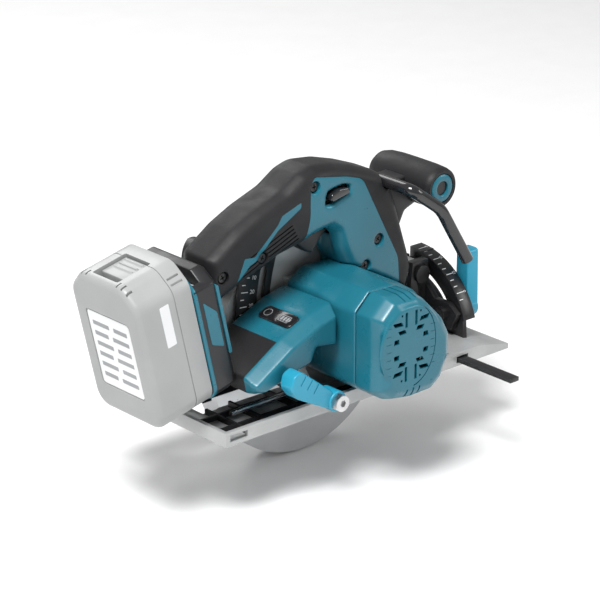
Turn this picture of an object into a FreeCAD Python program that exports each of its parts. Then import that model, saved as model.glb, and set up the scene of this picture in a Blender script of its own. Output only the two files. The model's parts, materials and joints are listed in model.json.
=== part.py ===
# Cordless circular saw, blade on the left, motor on the right.
# +X is the cutting direction, +Y the blade side, +Z up. The origin is the centre of the
# base plate's underside. All sizes are millimetres and all angles are degrees.
# The driving sizes come first, then the helpers, then one function for each group of pieces.
import FreeCAD, Part
import math
import os

from FreeCAD import Placement, Rotation, Vector

os.makedirs("parts", exist_ok=True)

# base plate
base_length = 283.0
base_width = 135.0
plate_thickness = 2.2
skirt_height = 10.5
skirt_thickness = 3.5
nose_height = 4.0
nose_length = 30.0
rib_height = 6.5

# blade and spindle
blade_diameter = 165.0
blade_thickness = 1.6
tooth_count = 24
cut_depth = 57.0
blade_x = -8.0
blade_y = 12.5
arbor_radius = 10.0
flange_radius = 17.5

# gear train: the centre distance puts the motor axis above the spindle
gear_module = 1.0
pinion_teeth = 17
gear_teeth = 44
gear_width = 9.0

# guards
guard_clearance = 5.5
guard_wall = 1.2
case_wall = 2.5
case_gap = 2.0
lower_guard_span = 185.0

# motor
stator_radius = 25.0
drawn_stator = 25.0
stator_front = -44.0
stator_back = -80.0
stator_bore = 15.2
rotor_radius = 14.6
motor_wall = 2.5
motor_front = -12.0
motor_split = -86.0
motor_end = -115.0

# display on the controller housing: how far the button sits from the panel's middle
button_offset = 11.0

# handle
handle_y = -17.5
handle_half = 20.0
overmould_thickness = 2.5
trigger_width = 13.6
trigger_pivot = (-4.0, 127.0)
lever_pivot = (-1.0, 151.0)
pivot_radius = 1.5
pivot_reach = 15.0

# hook
hook_x = 42.0
hook_z = 148.0
hook_radius = 4.8
hook_inner = -28.0
hook_outer = -62.0

# front grip
grip_radius = 16.5
grip_x = 83.0
grip_z = 138.0
grip_right = -52.0
grip_left = 17.0

# battery, in its own tilted frame: out is rearwards from the mount, up is along the rails
battery_tilt = 13.0
battery_width = 75.0
battery_depth = 48.0
battery_height = 112.0
battery_y = -17.5
battery_foot_x = -139.4
battery_foot_z = 30.0
mount_depth = 24.0
rail_gap = 0.4

# base adjustment
depth_reach = 15.5
depth_pivot_z = 56.0
depth_bolt_x = -55.3
depth_bolt_z = 18.1
depth_swing = 28.0
bevel_z = 5.0
bevel_radius = 64.0
bevel_slot_radius = 48.5
bevel_bolt_radius = 3.0
hinge_radius = 2.0
bevel_start = 153.5
bevel_swing = 50.0
quadrant_reach = 12.0
quadrant_width = 12.0

# rip fence
fence_reach = 20.0
fence_width = 9.0
fence_bar = 3.5
fence_out = 55.0
fence_screw_y = 58.0
fence_screw_radius = 3.0
hinge_back = -104.0

# small fits
running_gap = 0.05
loose_gap = 0.4
screw_radius = 1.9
screw_head = 3.4

# places worked out from the driving sizes
blade_radius = blade_diameter / 2
blade_z = blade_radius - cut_depth
centre_distance = gear_module * (pinion_teeth + gear_teeth) / 2
motor_x = blade_x
motor_z = blade_z + centre_distance
guard_radius = blade_radius + guard_clearance
case_inner = guard_radius + case_gap
case_outer = case_inner + case_wall
depth_pivot_x = blade_x + case_outer + depth_reach
half_length = base_length / 2
half_width = base_width / 2
quadrant_x = depth_pivot_x + quadrant_reach
fence_x = quadrant_x - fence_reach
depth_radius = math.hypot(depth_bolt_x - depth_pivot_x, depth_bolt_z - depth_pivot_z)
depth_angle = math.degrees(math.atan2(depth_bolt_z - depth_pivot_z, depth_bolt_x - depth_pivot_x))

nozzle_place = (
    blade_x + (case_outer + 9) * math.cos(math.radians(133.6)),
    blade_z + (case_outer + 9) * math.sin(math.radians(133.6)),
)

# stations along the spindle
case_right = -5.0
case_left = 26.0
case_face = case_left + case_wall
boss_radius = 19.0
case_opening = 62.0
nozzle_bore = 10.5
nozzle_end = 46.0
ear_left = 7.0
depth_pin_radius = 5.0
boss_end = 4.0
bearing_radius = 14.0
bearing_bore = 6.0
bearing_width = 8.0
guard_hub_right = -0.5
guard_hub_left = 3.2
guard_right = 1.0
guard_left = 23.2
flange_seat = blade_y - blade_thickness / 2
flange_face = blade_y + blade_thickness / 2
rear_bearing_radius = 11.0
rear_bearing_width = 7.0
gear_back = -20.0
housing_back = -30.0


def at(axis, u, v, level):
    if axis == "x":
        return Vector(level, u, v)
    if axis == "y":
        return Vector(u, level, v)
    return Vector(u, v, level)


def face(outline, axis, level):
    points = [at(axis, u, v, level) for u, v in outline]
    return Part.Face(Part.makePolygon(points + points[:1]))


def prism(outline, axis, low, high):
    return face(outline, axis, low).extrude(at(axis, 0, 0, high - low))


def block(x0, x1, y0, y1, z0, z1):
    return Part.makeBox(x1 - x0, y1 - y0, z1 - z0, Vector(x0, y0, z0))


def rod(axis, u, v, radius, low, high):
    return Part.makeCylinder(radius, high - low, at(axis, u, v, low), at(axis, 0, 0, 1))


def ring(axis, u, v, outer, inner, low, high):
    return rod(axis, u, v, outer, low, high).cut(rod(axis, u, v, inner, low - 1, high + 1))


def inset(outline, distance):
    # moves every side of an anticlockwise outline inwards, keeping its corners sharp
    area = sum(a[0] * b[1] - b[0] * a[1] for a, b in zip(outline, outline[1:] + outline[:1]))
    side = 1 if area > 0 else -1
    moved = []
    for i, corner in enumerate(outline):
        before = outline[i - 1]
        after = outline[(i + 1) % len(outline)]
        a = (corner[0] - before[0], corner[1] - before[1])
        b = (after[0] - corner[0], after[1] - corner[1])
        la, lb = math.hypot(*a), math.hypot(*b)
        na = (-side * a[1] / la, side * a[0] / la)
        nb = (-side * b[1] / lb, side * b[0] / lb)
        scale = distance / (1 + na[0] * nb[0] + na[1] * nb[1])
        moved.append((corner[0] + scale * (na[0] + nb[0]), corner[1] + scale * (na[1] + nb[1])))
    return moved


def loft(outlines, axis, levels):
    wires = []
    for outline, level in zip(outlines, levels):
        points = [at(axis, u, v, level) for u, v in outline]
        wires.append(Part.makePolygon(points + points[:1]))
    return Part.makeLoft(wires, True, True)


def puffed(outline, axis, steps):
    # steps are (level, inset) pairs: a block whose edges are bevelled towards its ends
    return loft([inset(outline, step[1]) for step in steps], axis, [step[0] for step in steps])


def polar(u, v, radius, angle):
    turn = math.radians(angle)
    return (u + radius * math.cos(turn), v + radius * math.sin(turn))


def sector(axis, u, v, inner, outer, start, end, low, high):
    # a slice of a ring, from start to end, anticlockwise in the outline's own plane
    middle = (start + end) / 2

    def spot(radius, angle):
        return at(axis, *polar(u, v, radius, angle), low)

    edges = [
        Part.Arc(spot(outer, start), spot(outer, middle), spot(outer, end)).toShape(),
        Part.LineSegment(spot(outer, end), spot(inner, end)).toShape(),
        Part.Arc(spot(inner, end), spot(inner, middle), spot(inner, start)).toShape(),
        Part.LineSegment(spot(inner, start), spot(outer, start)).toShape(),
    ]
    return Part.Face(Part.Wire(edges)).extrude(at(axis, 0, 0, high - low))


def arc_slot(axis, u, v, radius, half, start, end, low, high):
    slot = sector(axis, u, v, radius - half, radius + half, start, end, low, high)
    for angle in (start, end):
        slot = slot.fuse(rod(axis, *polar(u, v, radius, angle), half, low, high))
    return slot


def joined(shapes):
    return shapes[0].fuse(shapes[1:]) if len(shapes) > 1 else shapes[0]


def less(shape, *tools):
    return shape.cut(joined(list(tools)))


def one_solid(shape):
    # keeps the largest piece when a cut leaves crumbs behind
    return max(shape.Solids, key=lambda solid: solid.Volume)


def save(name, shape):
    if shape.ShapeType == "Compound" and len(shape.Solids) == 1:
        shape = shape.Solids[0]
    shape.exportStep("parts/" + name + ".step")
    print(name, len(shape.Solids), "solid", round(shape.Volume), "mm3", shape.isValid())


def gear_outline(teeth, first_tooth):
    # involute teeth, thinned a little at the pitch circle for backlash
    pitch = gear_module * teeth / 2
    base = pitch * math.cos(math.radians(20))
    tip = pitch + 0.85 * gear_module
    root = pitch - 1.15 * gear_module
    backlash = 0.12 * gear_module / pitch

    def involute(radius):
        pressure = math.acos(min(1, base / radius))
        return math.tan(pressure) - pressure

    def half_angle(radius):
        return math.pi / (2 * teeth) - backlash + involute(pitch) - involute(max(radius, base))

    outline = []
    for tooth in range(teeth):
        middle = math.radians(first_tooth) + 2 * math.pi * tooth / teeth
        radii = [root, max(base, root + 0.2), pitch, (pitch + tip) / 2, tip]
        for radius in radii:
            turn = middle - half_angle(radius)
            outline.append((radius * math.cos(turn), radius * math.sin(turn)))
        for radius in reversed(radii):
            turn = middle + half_angle(radius)
            outline.append((radius * math.cos(turn), radius * math.sin(turn)))
    return outline


def moved(outline, u, v):
    return [(a + u, b + v) for a, b in outline]


# outlines in side view (x, z) that several pieces share
# the motor's two are drawn about its axis round a 25 mm stator, and grow with the stator
barrel = moved(inset([
    (-28, -32), (-16, -41), (3, -44), (25, -43.5), (36, -35.5), (44, -18), (44, -1), (36.6, 13),
    (22, 28), (10, 36), (-14, 37), (-28, 24),
], drawn_stator - stator_radius), motor_x, motor_z)
shoulder = moved(inset([
    (-28, -32), (-16, -41), (13, -44), (58, -43.5), (76, -34), (85.7, -22), (85.7, -14), (67, 7),
    (52, 16.4), (16, 36), (-14, 37), (-28, 28),
], drawn_stator - stator_radius), motor_x, motor_z)
# about the blade's axis
gearcase = moved([
    (-25, -7.5), (-14, -10.5), (58, -10.5), (74, -1.5), (81, 8.5), (81, 15.5), (64, 34.5), (50, 43.5),
    (14, 58.5), (-25, 58.5),
], blade_x, blade_z)
# about the depth pivot
ear = moved([(-50, 4), (-28, 16), (4, 8), (8, -4), (-4, -10), (-28, -20)], depth_pivot_x, depth_pivot_z)
motor_screws = moved([(62, 1), (-20, -24)], motor_x, motor_z)
handle = [
    (-126, 88), (-110, 96), (-62, 113.7), (-44, 117), (-36, 119), (-28, 122), (-14, 124),
    (-8, 119), (-4, 105),
    (2, 93), (2, 62), (62, 50), (70, 76), (67, 89), (50.6, 138.6), (47.8, 149), (33.6, 158), (12.7, 166),
    (-8, 172), (-28, 174.4), (-40, 171), (-56, 161), (-81.5, 152), (-101, 142.8), (-126, 126),
]
side_panel = [
    (-35, 138), (-39, 124), (-44, 110), (-20, 100), (-12, 60), (54, 60), (52, 88), (31.3, 127),
    (15.5, 157), (0, 162), (-32, 168), (-35, 155),
]
controller = [
    (-118, 33), (-107.5, 29), (-61, 41.5), (-57, 51), (-36, 48),
    (-36, 81), (-57, 76.5), (-84, 65), (-122, 42),
]


def case_volume():
    # everything that the blade case takes up, used to trim what stands beside it
    disc = rod("y", blade_x, blade_z, case_outer + loose_gap, case_right - loose_gap, case_face + loose_gap)
    above = block(-150, 150, -50, 60, 0, 200)
    return disc.common(above)


def chute_outline():
    outline = [(-32, 82.5), (-22, 90.5), (-64, 93.5), (-90, 77.5), (-84, 56.5), (-72, 50.5)]
    return moved(outline, blade_x, blade_z)


def blade_case():
    bottom = blade_z - 12.5
    keep = block(-150, 150, -60, 60, bottom, 200)
    inner_wall = rod("y", blade_x, blade_z, case_outer, case_right, case_right + case_wall).common(keep)
    rim = ring("y", blade_x, blade_z, case_outer, case_inner, case_right, case_face).common(keep)
    outer_band = ring("y", blade_x, blade_z, case_outer, case_opening, case_left, case_face).common(keep)
    chute = prism(chute_outline(), "y", case_right + 9, case_face)
    hollow = prism(inset(chute_outline(), case_wall), "y", case_right + 9 + case_wall, case_left)
    window_outline = [(-36, 74.5), (-28, 87.5), (-62, 90.5), (-86, 75.5), (-80, 58.5), (-66, 54.5)]
    window = prism(moved(window_outline, blade_x, blade_z), "y", case_right + 9 + case_wall, case_left)
    window = window.common(rod("y", blade_x, blade_z, case_outer + 12, -10, 40))
    boss = rod("y", blade_x, blade_z, boss_radius, case_right, boss_end)
    web_outline = moved([(-22, -11.5), (22, -11.5), (16, -21.5), (-16, -21.5)], blade_x, blade_z)
    web = prism(web_outline, "y", case_right, case_right + case_wall)
    ear_plate = prism(ear, "y", case_right, ear_left)
    eye = rod("y", depth_pivot_x, depth_pivot_z, 9, case_right, ear_left)
    body = joined([inner_wall, rim, outer_band, chute, boss, web, ear_plate, eye])
    inside = rod("y", blade_x, blade_z, case_inner, case_right + case_wall, case_left)
    inside = inside.cut(rod("y", blade_x, blade_z, boss_radius, case_right, boss_end))
    port = rod("y", *nozzle_place, nozzle_bore, case_left - 1, case_face + 1)
    outer_hole = rod("y", blade_x, blade_z, case_opening, case_left - 1, case_face + 1)
    bearing_seat = rod("y", blade_x, blade_z, bearing_radius, case_right - 1, boss_end + 1)
    hole_radius = depth_pin_radius + running_gap
    pin_hole = rod("y", depth_pivot_x, depth_pivot_z, hole_radius, case_right - 1, ear_left + 1)
    body = less(body, inside, hollow, window, port, outer_hole, bearing_seat, pin_hole)
    save("upper_guard", one_solid(body))

    u, v = nozzle_place
    nozzle = ring("y", u, v, nozzle_bore + 2.5, nozzle_bore, case_face, nozzle_end)
    slant = [(u - 20, nozzle_end - 8), (u + 18, nozzle_end + 10), (u - 20, nozzle_end + 10)]
    lip = prism(slant, "z", v - 29, v + 31)
    save("dust_nozzle", one_solid(nozzle.cut(lip)))

    retainer = ring("y", blade_x, blade_z, 22, 12.5, boss_end, boss_end + 1)
    save("guard_retainer", retainer)


def lower_guard():
    end = -5
    start = end - lower_guard_span
    skin = guard_radius - guard_wall
    rim = sector("y", blade_x, blade_z, skin, guard_radius, start, end, guard_right, guard_left)
    plate_end, lip_start = guard_right + guard_wall, guard_left - guard_wall
    inner = sector("y", blade_x, blade_z, boss_radius + 2, guard_radius, start, end, guard_right, plate_end)
    outer = sector("y", blade_x, blade_z, 42, guard_radius, start, end, lip_start, guard_left)
    hub = rod("y", blade_x, blade_z, boss_radius + 5, guard_hub_right, guard_hub_left)
    bore = rod("y", blade_x, blade_z, boss_radius + running_gap, -10, 10)
    save("lower_guard", joined([rim, inner, outer, hub]).cut(bore))

    coil = Part.makeTorus(boss_radius + 2, 0.8, Vector(blade_x, -1.5, blade_z), Vector(0, 1, 0))
    tail = rod("y", blade_x, blade_z + boss_radius + 2, 0.8, -2.5, -1.5)
    save("guard_spring", coil.fuse(tail))

    arm = sector("y", blade_x, blade_z, 46, 57, 134, 180, guard_left, guard_left + 2)
    knob = rod("y", *polar(blade_x, blade_z, 51.5, 138), 5, guard_left, guard_left + 9)
    save("guard_lever", arm.fuse(knob))


def blade_outline():
    # each tooth has a steep front, a tip and a long sloping back with a round gullet
    pitch = 360 / tooth_count
    shape = [(-0.62, 0.905), (-0.50, 0.895), (-0.40, 0.91), (-0.33, 1.0), (0.0, 0.985), (0.30, 0.965)]
    return [
        polar(blade_x, blade_z, blade_radius * reach, pitch * (tooth + part))
        for tooth in range(tooth_count)
        for part, reach in shape
    ]


def spindle_group():
    blade = prism(blade_outline(), "y", flange_seat, flange_face)
    blade = blade.cut(rod("y", blade_x, blade_z, arbor_radius, flange_seat - 1, flange_face + 1))
    for slot in range(4):
        middle = 45 + 90 * slot
        cut = arc_slot("y", blade_x, blade_z, 0.56 * blade_radius, 0.6, middle, middle + 22, 0, 20)
        blade = blade.cut(cut)
    save("saw_blade", blade)

    inner = rod("y", blade_x, blade_z, flange_radius, flange_seat - 4.5, flange_seat)
    inner = inner.fuse(rod("y", blade_x, blade_z, arbor_radius, flange_seat - 1, flange_face - 0.3))
    save("inner_flange", inner.cut(rod("y", blade_x, blade_z, 6, 0, 20)))

    outer = rod("y", blade_x, blade_z, flange_radius, flange_face, flange_face + 3.5)
    outer = outer.cut(rod("y", blade_x, blade_z, flange_radius - 4, flange_face - 1, flange_face + 0.6))
    save("outer_flange", outer.cut(rod("y", blade_x, blade_z, 4, 0, 30)))

    hexagon = [polar(blade_x, blade_z, 7.5, 60 * corner) for corner in range(6)]
    head = prism(hexagon, "y", flange_face + 3.5, flange_face + 9)
    washer = rod("y", blade_x, blade_z, 10, flange_face + 3.5, flange_face + 5)
    shank = rod("y", blade_x, blade_z, 4, 0, flange_face + 4)
    save("blade_bolt", joined([head, washer, shank]))

    spindle = rod("y", blade_x, blade_z, 6, gear_back - 8, flange_face - 0.5)
    collar = rod("y", blade_x, blade_z, 9, gear_back + gear_width, case_right - 0.2)
    for notch in range(4):
        angle = 90 * notch
        cut = block(5.5, 12, -2.2, 2.2, -2.4, 2.4)
        cut.Placement = Placement(Vector(blade_x, -8, blade_z), Rotation(Vector(0, 1, 0), angle))
        collar = collar.cut(cut)
    save("spindle", spindle.fuse(collar).cut(rod("y", blade_x, blade_z, 4, 0, 40)))

    outline = moved(gear_outline(gear_teeth, 90), blade_x, blade_z)
    gear = prism(outline, "y", gear_back, gear_back + gear_width)
    save("drive_gear", gear.cut(rod("y", blade_x, blade_z, 6, -50, 50)))

    front = ring("y", blade_x, blade_z, bearing_radius, bearing_bore, case_right, case_right + bearing_width)
    rear = ring("y", blade_x, blade_z, rear_bearing_radius, bearing_bore, gear_back - 8, gear_back - 1)
    save("spindle_bearings", Part.makeCompound([front, rear]))


def rotor_group():
    first = -90 + 180 / pinion_teeth
    outline = moved(gear_outline(pinion_teeth, first), motor_x, motor_z)
    pinion = prism(outline, "y", gear_back, gear_back + gear_width)
    save("pinion", pinion.cut(rod("y", motor_x, motor_z, 4, -50, 50)))

    shaft = rod("y", motor_x, motor_z, 4, -103, gear_back + gear_width)
    core = rod("y", motor_x, motor_z, rotor_radius, stator_back + 2, stator_front - 2)
    save("rotor", shaft.fuse(core))

    hub = rod("y", motor_x, motor_z, 7, -42, -33)
    plate = rod("y", motor_x, motor_z, stator_radius - 2, -42, -40.5)
    blades = []
    for vane in range(11):
        blade = block(6, stator_radius - 2.5, -0.7, 0.7, 0, 6.5)
        blade.Placement = Placement(Vector(motor_x, -40.5, motor_z), Rotation(Vector(1, 0, 0), -90))
        blade.rotate(Vector(motor_x, 0, motor_z), Vector(0, 1, 0), 360 * vane / 11)
        blades.append(blade)
    fan = joined([hub, plate] + blades)
    save("cooling_fan", fan.cut(rod("y", motor_x, motor_z, 4, -60, 0)))

    bearing_front = housing_back + rear_bearing_width
    front = ring("y", motor_x, motor_z, rear_bearing_radius, 4, housing_back, bearing_front)
    rear = ring("y", motor_x, motor_z, 9.5, 4, -102, -95)
    save("motor_bearings", Part.makeCompound([front, rear]))

    yoke = stator_radius - 3
    stack = ring("y", motor_x, motor_z, stator_radius, yoke, stator_back, stator_front)
    teeth = []
    for tooth in range(6):
        pole = block(
            motor_x + stator_bore, motor_x + yoke + 0.5, stator_back, stator_front, motor_z - 3, motor_z + 3,
        )
        coil = block(
            motor_x + stator_bore + 1.3, motor_x + yoke - 0.5, stator_back - 3, stator_front + 1,
            motor_z - 5, motor_z + 5,
        )
        for piece in (pole, coil):
            piece.rotate(Vector(motor_x, 0, motor_z), Vector(0, 1, 0), 60 * tooth + 30)
            teeth.append(piece)
    bore = rod("y", motor_x, motor_z, stator_bore, -90, -30)
    save("stator", joined([stack] + teeth).cut(bore))


def gear_housing():
    chamber_radius = gear_module * gear_teeth / 2 + 1.5
    pinion_room = gear_module * pinion_teeth / 2 + 1.5
    wall = 1.9
    screw_holes = [rod("y", x, z, screw_radius, -31, -20) for x, z in motor_screws]
    body = prism(gearcase, "y", housing_back, case_right)
    body = body.fuse(rod("y", blade_x, blade_z, chamber_radius + wall, housing_back, case_right))
    chamber = rod("y", blade_x, blade_z, chamber_radius, gear_back - 1, case_right + 1)
    chamber = chamber.fuse(rod("y", motor_x, motor_z, pinion_room, gear_back - 1, case_right + 1))
    rear_seat = rod("y", blade_x, blade_z, rear_bearing_radius, gear_back - 8, gear_back)
    seat_front = housing_back + rear_bearing_width
    motor_seat = rod("y", motor_x, motor_z, rear_bearing_radius, housing_back - 1, seat_front)
    shaft_hole = rod("y", motor_x, motor_z, 5, housing_back - 1, 0)
    # pockets that lighten the casting in front of the gears and behind the motor's axis
    light_holes = [
        block(blade_x + 30, blade_x + 70, housing_back - 1, -9, blade_z - 1.5, blade_z + 26.5),
        block(blade_x - 22, blade_x - 12, -26, -9, blade_z + 24.5, blade_z + 52.5),
    ]
    lock_hole = rod("x", -8, blade_z, 2.6 + running_gap, blade_x + 5, 80)
    body = less(body, chamber, rear_seat, motor_seat, shaft_hole, lock_hole, *light_holes, *screw_holes)
    save("gear_housing", one_solid(body))


def shaft_lock():
    tip = blade_x + 10.0
    pin = rod("x", -8, blade_z, 1.8, tip, tip + 20)
    stem = rod("x", -8, blade_z, 2.6, tip + 18, 82)
    button = block(77, 84, -14, -5.6, blade_z - 5, blade_z + 5)
    save("shaft_lock", joined([pin, stem, button]))


def motor_group():
    outer = loft([shoulder, shoulder, barrel, barrel], "y", [motor_front, -48, -63, motor_split])
    wide, narrow = inset(shoulder, motor_wall), inset(barrel, motor_wall)
    room = loft([wide, wide, narrow, narrow], "y", [housing_back, -46, -61, motor_split - 1])
    seat_end, seat_start = stator_back - 4, stator_front - 2
    seat = ring("y", motor_x, motor_z, stator_radius + 2.5, stator_radius, seat_end, seat_start)
    ribs = joined([
        block(motor_x - 1.2, motor_x + 1.2, seat_end, seat_start, motor_z - 46, motor_z + 40),
        block(motor_x - 29, motor_x + 45, seat_end, seat_start, motor_z - 1.2, motor_z + 1.2),
    ]).cut(rod("y", motor_x, motor_z, stator_radius + 1, -90, -40))
    frame = seat.fuse(ribs).common(room)
    fan_room = rod("y", motor_x, motor_z, stator_radius - 1, -46, housing_back)
    nest = prism(gearcase, "y", housing_back - 0.01, motor_front + 1)
    gear_room = rod("y", blade_x, blade_z, gear_module * gear_teeth / 2 + 3.4, housing_back, 0)
    stem_room = rod("x", -8, blade_z, 9, 60, 100)
    body = less(outer, room, fan_room, nest, gear_room, stem_room).fuse(frame)
    heads = [rod("y", x, z, screw_head + 0.4, -70, -46) for x, z in motor_screws]
    shanks = [rod("y", x, z, screw_radius, -47, -20) for x, z in motor_screws]
    posts = [rod("y", x, z, 5, -46.5, housing_back) for x, z in motor_screws]
    notches = [rod("y", x, z, screw_head + 0.4, -60, -30) for x, z in handle_screws()]
    body = less(body.fuse(posts).common(outer), *heads, *shanks, *notches)
    save("motor_housing", one_solid(body))

    cap = puffed(barrel, "y", [(motor_end, 9), (motor_end + 4, 3), (motor_end + 13, 0), (motor_split, 0)])
    cavity = puffed(barrel, "y", [
        (motor_end + 2.5, 11), (motor_end + 6, 5.5), (motor_end + 13, motor_wall),
        (motor_split + 1, motor_wall),
    ])
    boss = rod("y", motor_x, motor_z, 12.5, -104, -95)
    boss = boss.fuse(rod("y", motor_x, motor_z, 9, motor_end + 1.5, -102))
    cap = cap.cut(cavity).fuse(boss)
    cap = cap.cut(rod("y", motor_x, motor_z, 9.5, -102, -90)).cut(rod("y", motor_x, motor_z, 5, -105, -90))
    save("motor_end_cap", one_solid(less(cap, *vents())))


def vents():
    # each quarter of the end has a tall slot, a dot and three sloping slots
    pattern = [
        [(3.6, 15), (6.0, 15), (6.0, 26.5), (3.6, 26.5)],
        [(8.2, 24), (9.9, 24), (9.9, 25.7), (8.2, 25.7)],
        [(7.6, 17), (16.2, 17.5), (18, 20.8), (9.5, 20.4)],
        [(4.6, 10.8), (11.2, 10.6), (13, 13.8), (6, 14)],
        [(11.6, 4.2), (17, 4.2), (16.4, 8), (12, 8)],
    ]
    cuts = []
    for across in (-1, 1):
        for up in (-1, 1):
            for outline in pattern:
                spots = [(motor_x + across * u, motor_z + up * v) for u, v in outline]
                cuts.append(prism(spots, "y", motor_end - 1, motor_end + 5))
    return cuts


def controller_group():
    body = puffed(controller, "y", [(-72, 5), (-60, 0), (-10, 0)])
    hollow = puffed(controller, "y", [(-67, 6), (-60, 3), (-13, 3)])
    tail = block(-140, -112, -80, 0, 20, 60)
    hollow = hollow.cut(tail)
    bolt_room = rod("y", depth_bolt_x, depth_bolt_z, 9, -80, 0)
    panel = display_place(block(-17, 17, -6.5, 6.5, -1.6, 3))
    mount = battery_place(block(-mount_depth, 60, -60, 60, -30, 150))
    save("controller_housing", one_solid(less(body, hollow, bolt_room, panel, mount)))

    board = block(-100, -42, -56, -18, 44, 46)
    chips = [block(-94 + 13 * i, -86 + 13 * i, -50, -30, 46, 50) for i in range(3)]
    board = joined([board] + chips).common(puffed(controller, "y", [(-66, 6), (-60, 3.5), (-13.5, 3.5)]))
    save("controller_board", one_solid(board))

    plate = display_place(block(-16.8, 16.8, -6.3, 6.3, -1.6, 0.3))
    plate = plate.cut(display_place(rod("z", button_offset, 0, 2.6, -3, 3)))
    save("display_panel", one_solid(plate))
    button = display_place(rod("z", button_offset, 0, 2.5, -1.1, 0.9))
    save("display_button", button)


def display_place(shape):
    # the display lies on the sloping top of the controller housing
    slope = math.degrees(math.atan2(76.5 - 65, -57 + 84))
    shape.rotate(Vector(0, 0, 0), Vector(0, 0, 1), 90)
    shape.rotate(Vector(0, 0, 0), Vector(0, 1, 0), -slope)
    shape.translate(Vector(-68, -40, 65 + 16 * (76.5 - 65) / 27))
    return shape


def handle_outside():
    right, left = handle_y - handle_half, handle_y + handle_half
    steps = [(right, 7), (right + 3, 3), (right + 9, 0), (left - 9, 0), (left - 3, 3), (left, 7)]
    return puffed(handle, "y", steps)


def handle_group(keep_out):
    right, left = handle_y - handle_half, handle_y + handle_half
    outer = handle_outside()
    skin = overmould_thickness
    core_steps = [
        (right + skin, 9), (right + 6, 5), (right + 11, skin),
        (left - 11, skin), (left - 6, 5), (left - skin, 9),
    ]
    core = puffed(handle, "y", core_steps)
    room_steps = [(right + 6, 12), (right + 12, 6.5), (left - 12, 6.5), (left - 6, 12)]
    room = puffed(handle, "y", room_steps)
    panel = prism(side_panel, "y", right - 1, left + 1)
    shell = core.fuse(outer.common(panel))
    trim = joined(keep_out)
    slot_half = trigger_width / 2 + 0.7
    trigger_slot = block(-42, -0.5, handle_y - slot_half, handle_y + slot_half, 98, 134)
    pin_right, pin_left = handle_y - pivot_reach, handle_y + pivot_reach
    pivot_hole = rod("y", *trigger_pivot, pivot_radius, pin_right, pin_left)
    window_view = [(-20, 144), (-14, 143), (4, 149), (4, 155), (-4, 156.5), (-18, 154)]
    window = prism(window_view, "y", right - 1, left + 1)
    bosses = [rod("y", x, z, 5, right + 2, left - 2) for x, z in handle_screws()]
    holes = [rod("y", x, z, screw_radius, right - 1, left - 3) for x, z in handle_screws()]
    heads = [rod("y", x, z, screw_head + 0.4, right - 1, right + 5) for x, z in handle_screws()]
    hook_hole = rod("y", hook_x, hook_z, hook_radius + 0.3, right - 1, hook_inner + 0.5)
    shell = shell.cut(room).fuse(joined(bosses).common(core))
    shell = less(shell, trigger_slot, pivot_hole, window, trim, hook_hole, *holes, *heads)
    save("handle_right", one_solid(shell.common(block(-200, 200, right - 1, handle_y, 0, 200))))
    save("handle_left", one_solid(shell.common(block(-200, 200, handle_y, left + 1, 0, 200))))

    wrap = outer.cut(core).cut(panel)
    wrap = less(wrap, trigger_slot, trim, hook_hole, *holes, *heads)
    inlays = [inlay(side) for side in (-1, 1)]
    wrap = less(wrap, *inlays)
    save("handle_overmould", one_solid(wrap))
    fitted = [shape.common(outer).cut(core).cut(trim) for shape in inlays]
    save("grip_inlays", Part.makeCompound([one_solid(shape) for shape in fitted]))


def inlay(side):
    # a zigzag strip let into each side of the grip
    outline = [
        (-104, 106), (-97, 122), (-88, 121), (-66, 140), (-62, 146), (-44, 152),
        (-44, 148), (-66, 136), (-86, 118), (-92, 116), (-101, 108),
    ]
    low = handle_y - handle_half - 1 if side < 0 else handle_y + handle_half - 7
    return prism(outline, "y", low, low + 8)


def handle_screws():
    return [(-30, 160), (33, 106), (20, 88.3), (-79.4, 118), (-116, 112)]


def screws():
    group = []
    for x, z in handle_screws():
        right = handle_y - handle_half
        head = rod("y", x, z, screw_head, right + 1.5, right + 5)
        group.append(head.fuse(rod("y", x, z, screw_radius, right + 5, handle_y + 10)))
    for x, z in motor_screws:
        group.append(rod("y", x, z, screw_head, -49, -46).fuse(rod("y", x, z, screw_radius, -46, -20)))
    save("housing_screws", Part.makeCompound(group))


def trigger_group(case):
    outline = [
        (-1.5, 124), (-3, 120), (-9, 118.5), (-15, 113.5), (-19, 107.5), (-22, 105), (-27, 107), (-33, 112),
        (-37, 116), (-37, 126), (-20, 131), (-4, 131),
    ]
    lever = prism(outline, "y", handle_y - trigger_width / 2, handle_y + trigger_width / 2)
    pin_right, pin_left = handle_y - pivot_reach, handle_y + pivot_reach
    bore = rod("y", *trigger_pivot, pivot_radius + running_gap, pin_right, pin_left)
    save("trigger", lever.cut(bore))
    save("trigger_pin", rod("y", *trigger_pivot, pivot_radius, pin_right, pin_left))

    body = block(-80, -48.5, handle_y - 10, handle_y + 10, 127, 144)
    plunger = rod("x", handle_y, 132, 2.5, -48.5, -40)
    save("switch_unit", body.fuse(plunger))

    low, high = handle_y - handle_half - 2, handle_y + handle_half + 2
    bar = prism([(-17, 147.5), (-14, 146.5), (1, 150), (1.5, 153), (-1, 154), (-16, 151.5)], "y", low, high)
    bar = bar.fuse(rod("y", *lever_pivot, 2.4, low + 3, high - 3))
    save("lock_off_lever", one_solid(bar.cut(case)))


def battery_place(shape):
    # local x is out from the mount, local y is across, local z is up along the rails
    shape.rotate(Vector(0, 0, 0), Vector(0, 0, 1), 180)
    shape.rotate(Vector(0, 0, 0), Vector(0, 1, 0), -battery_tilt)
    shape.translate(Vector(battery_foot_x, battery_y, battery_foot_z))
    return shape


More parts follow.
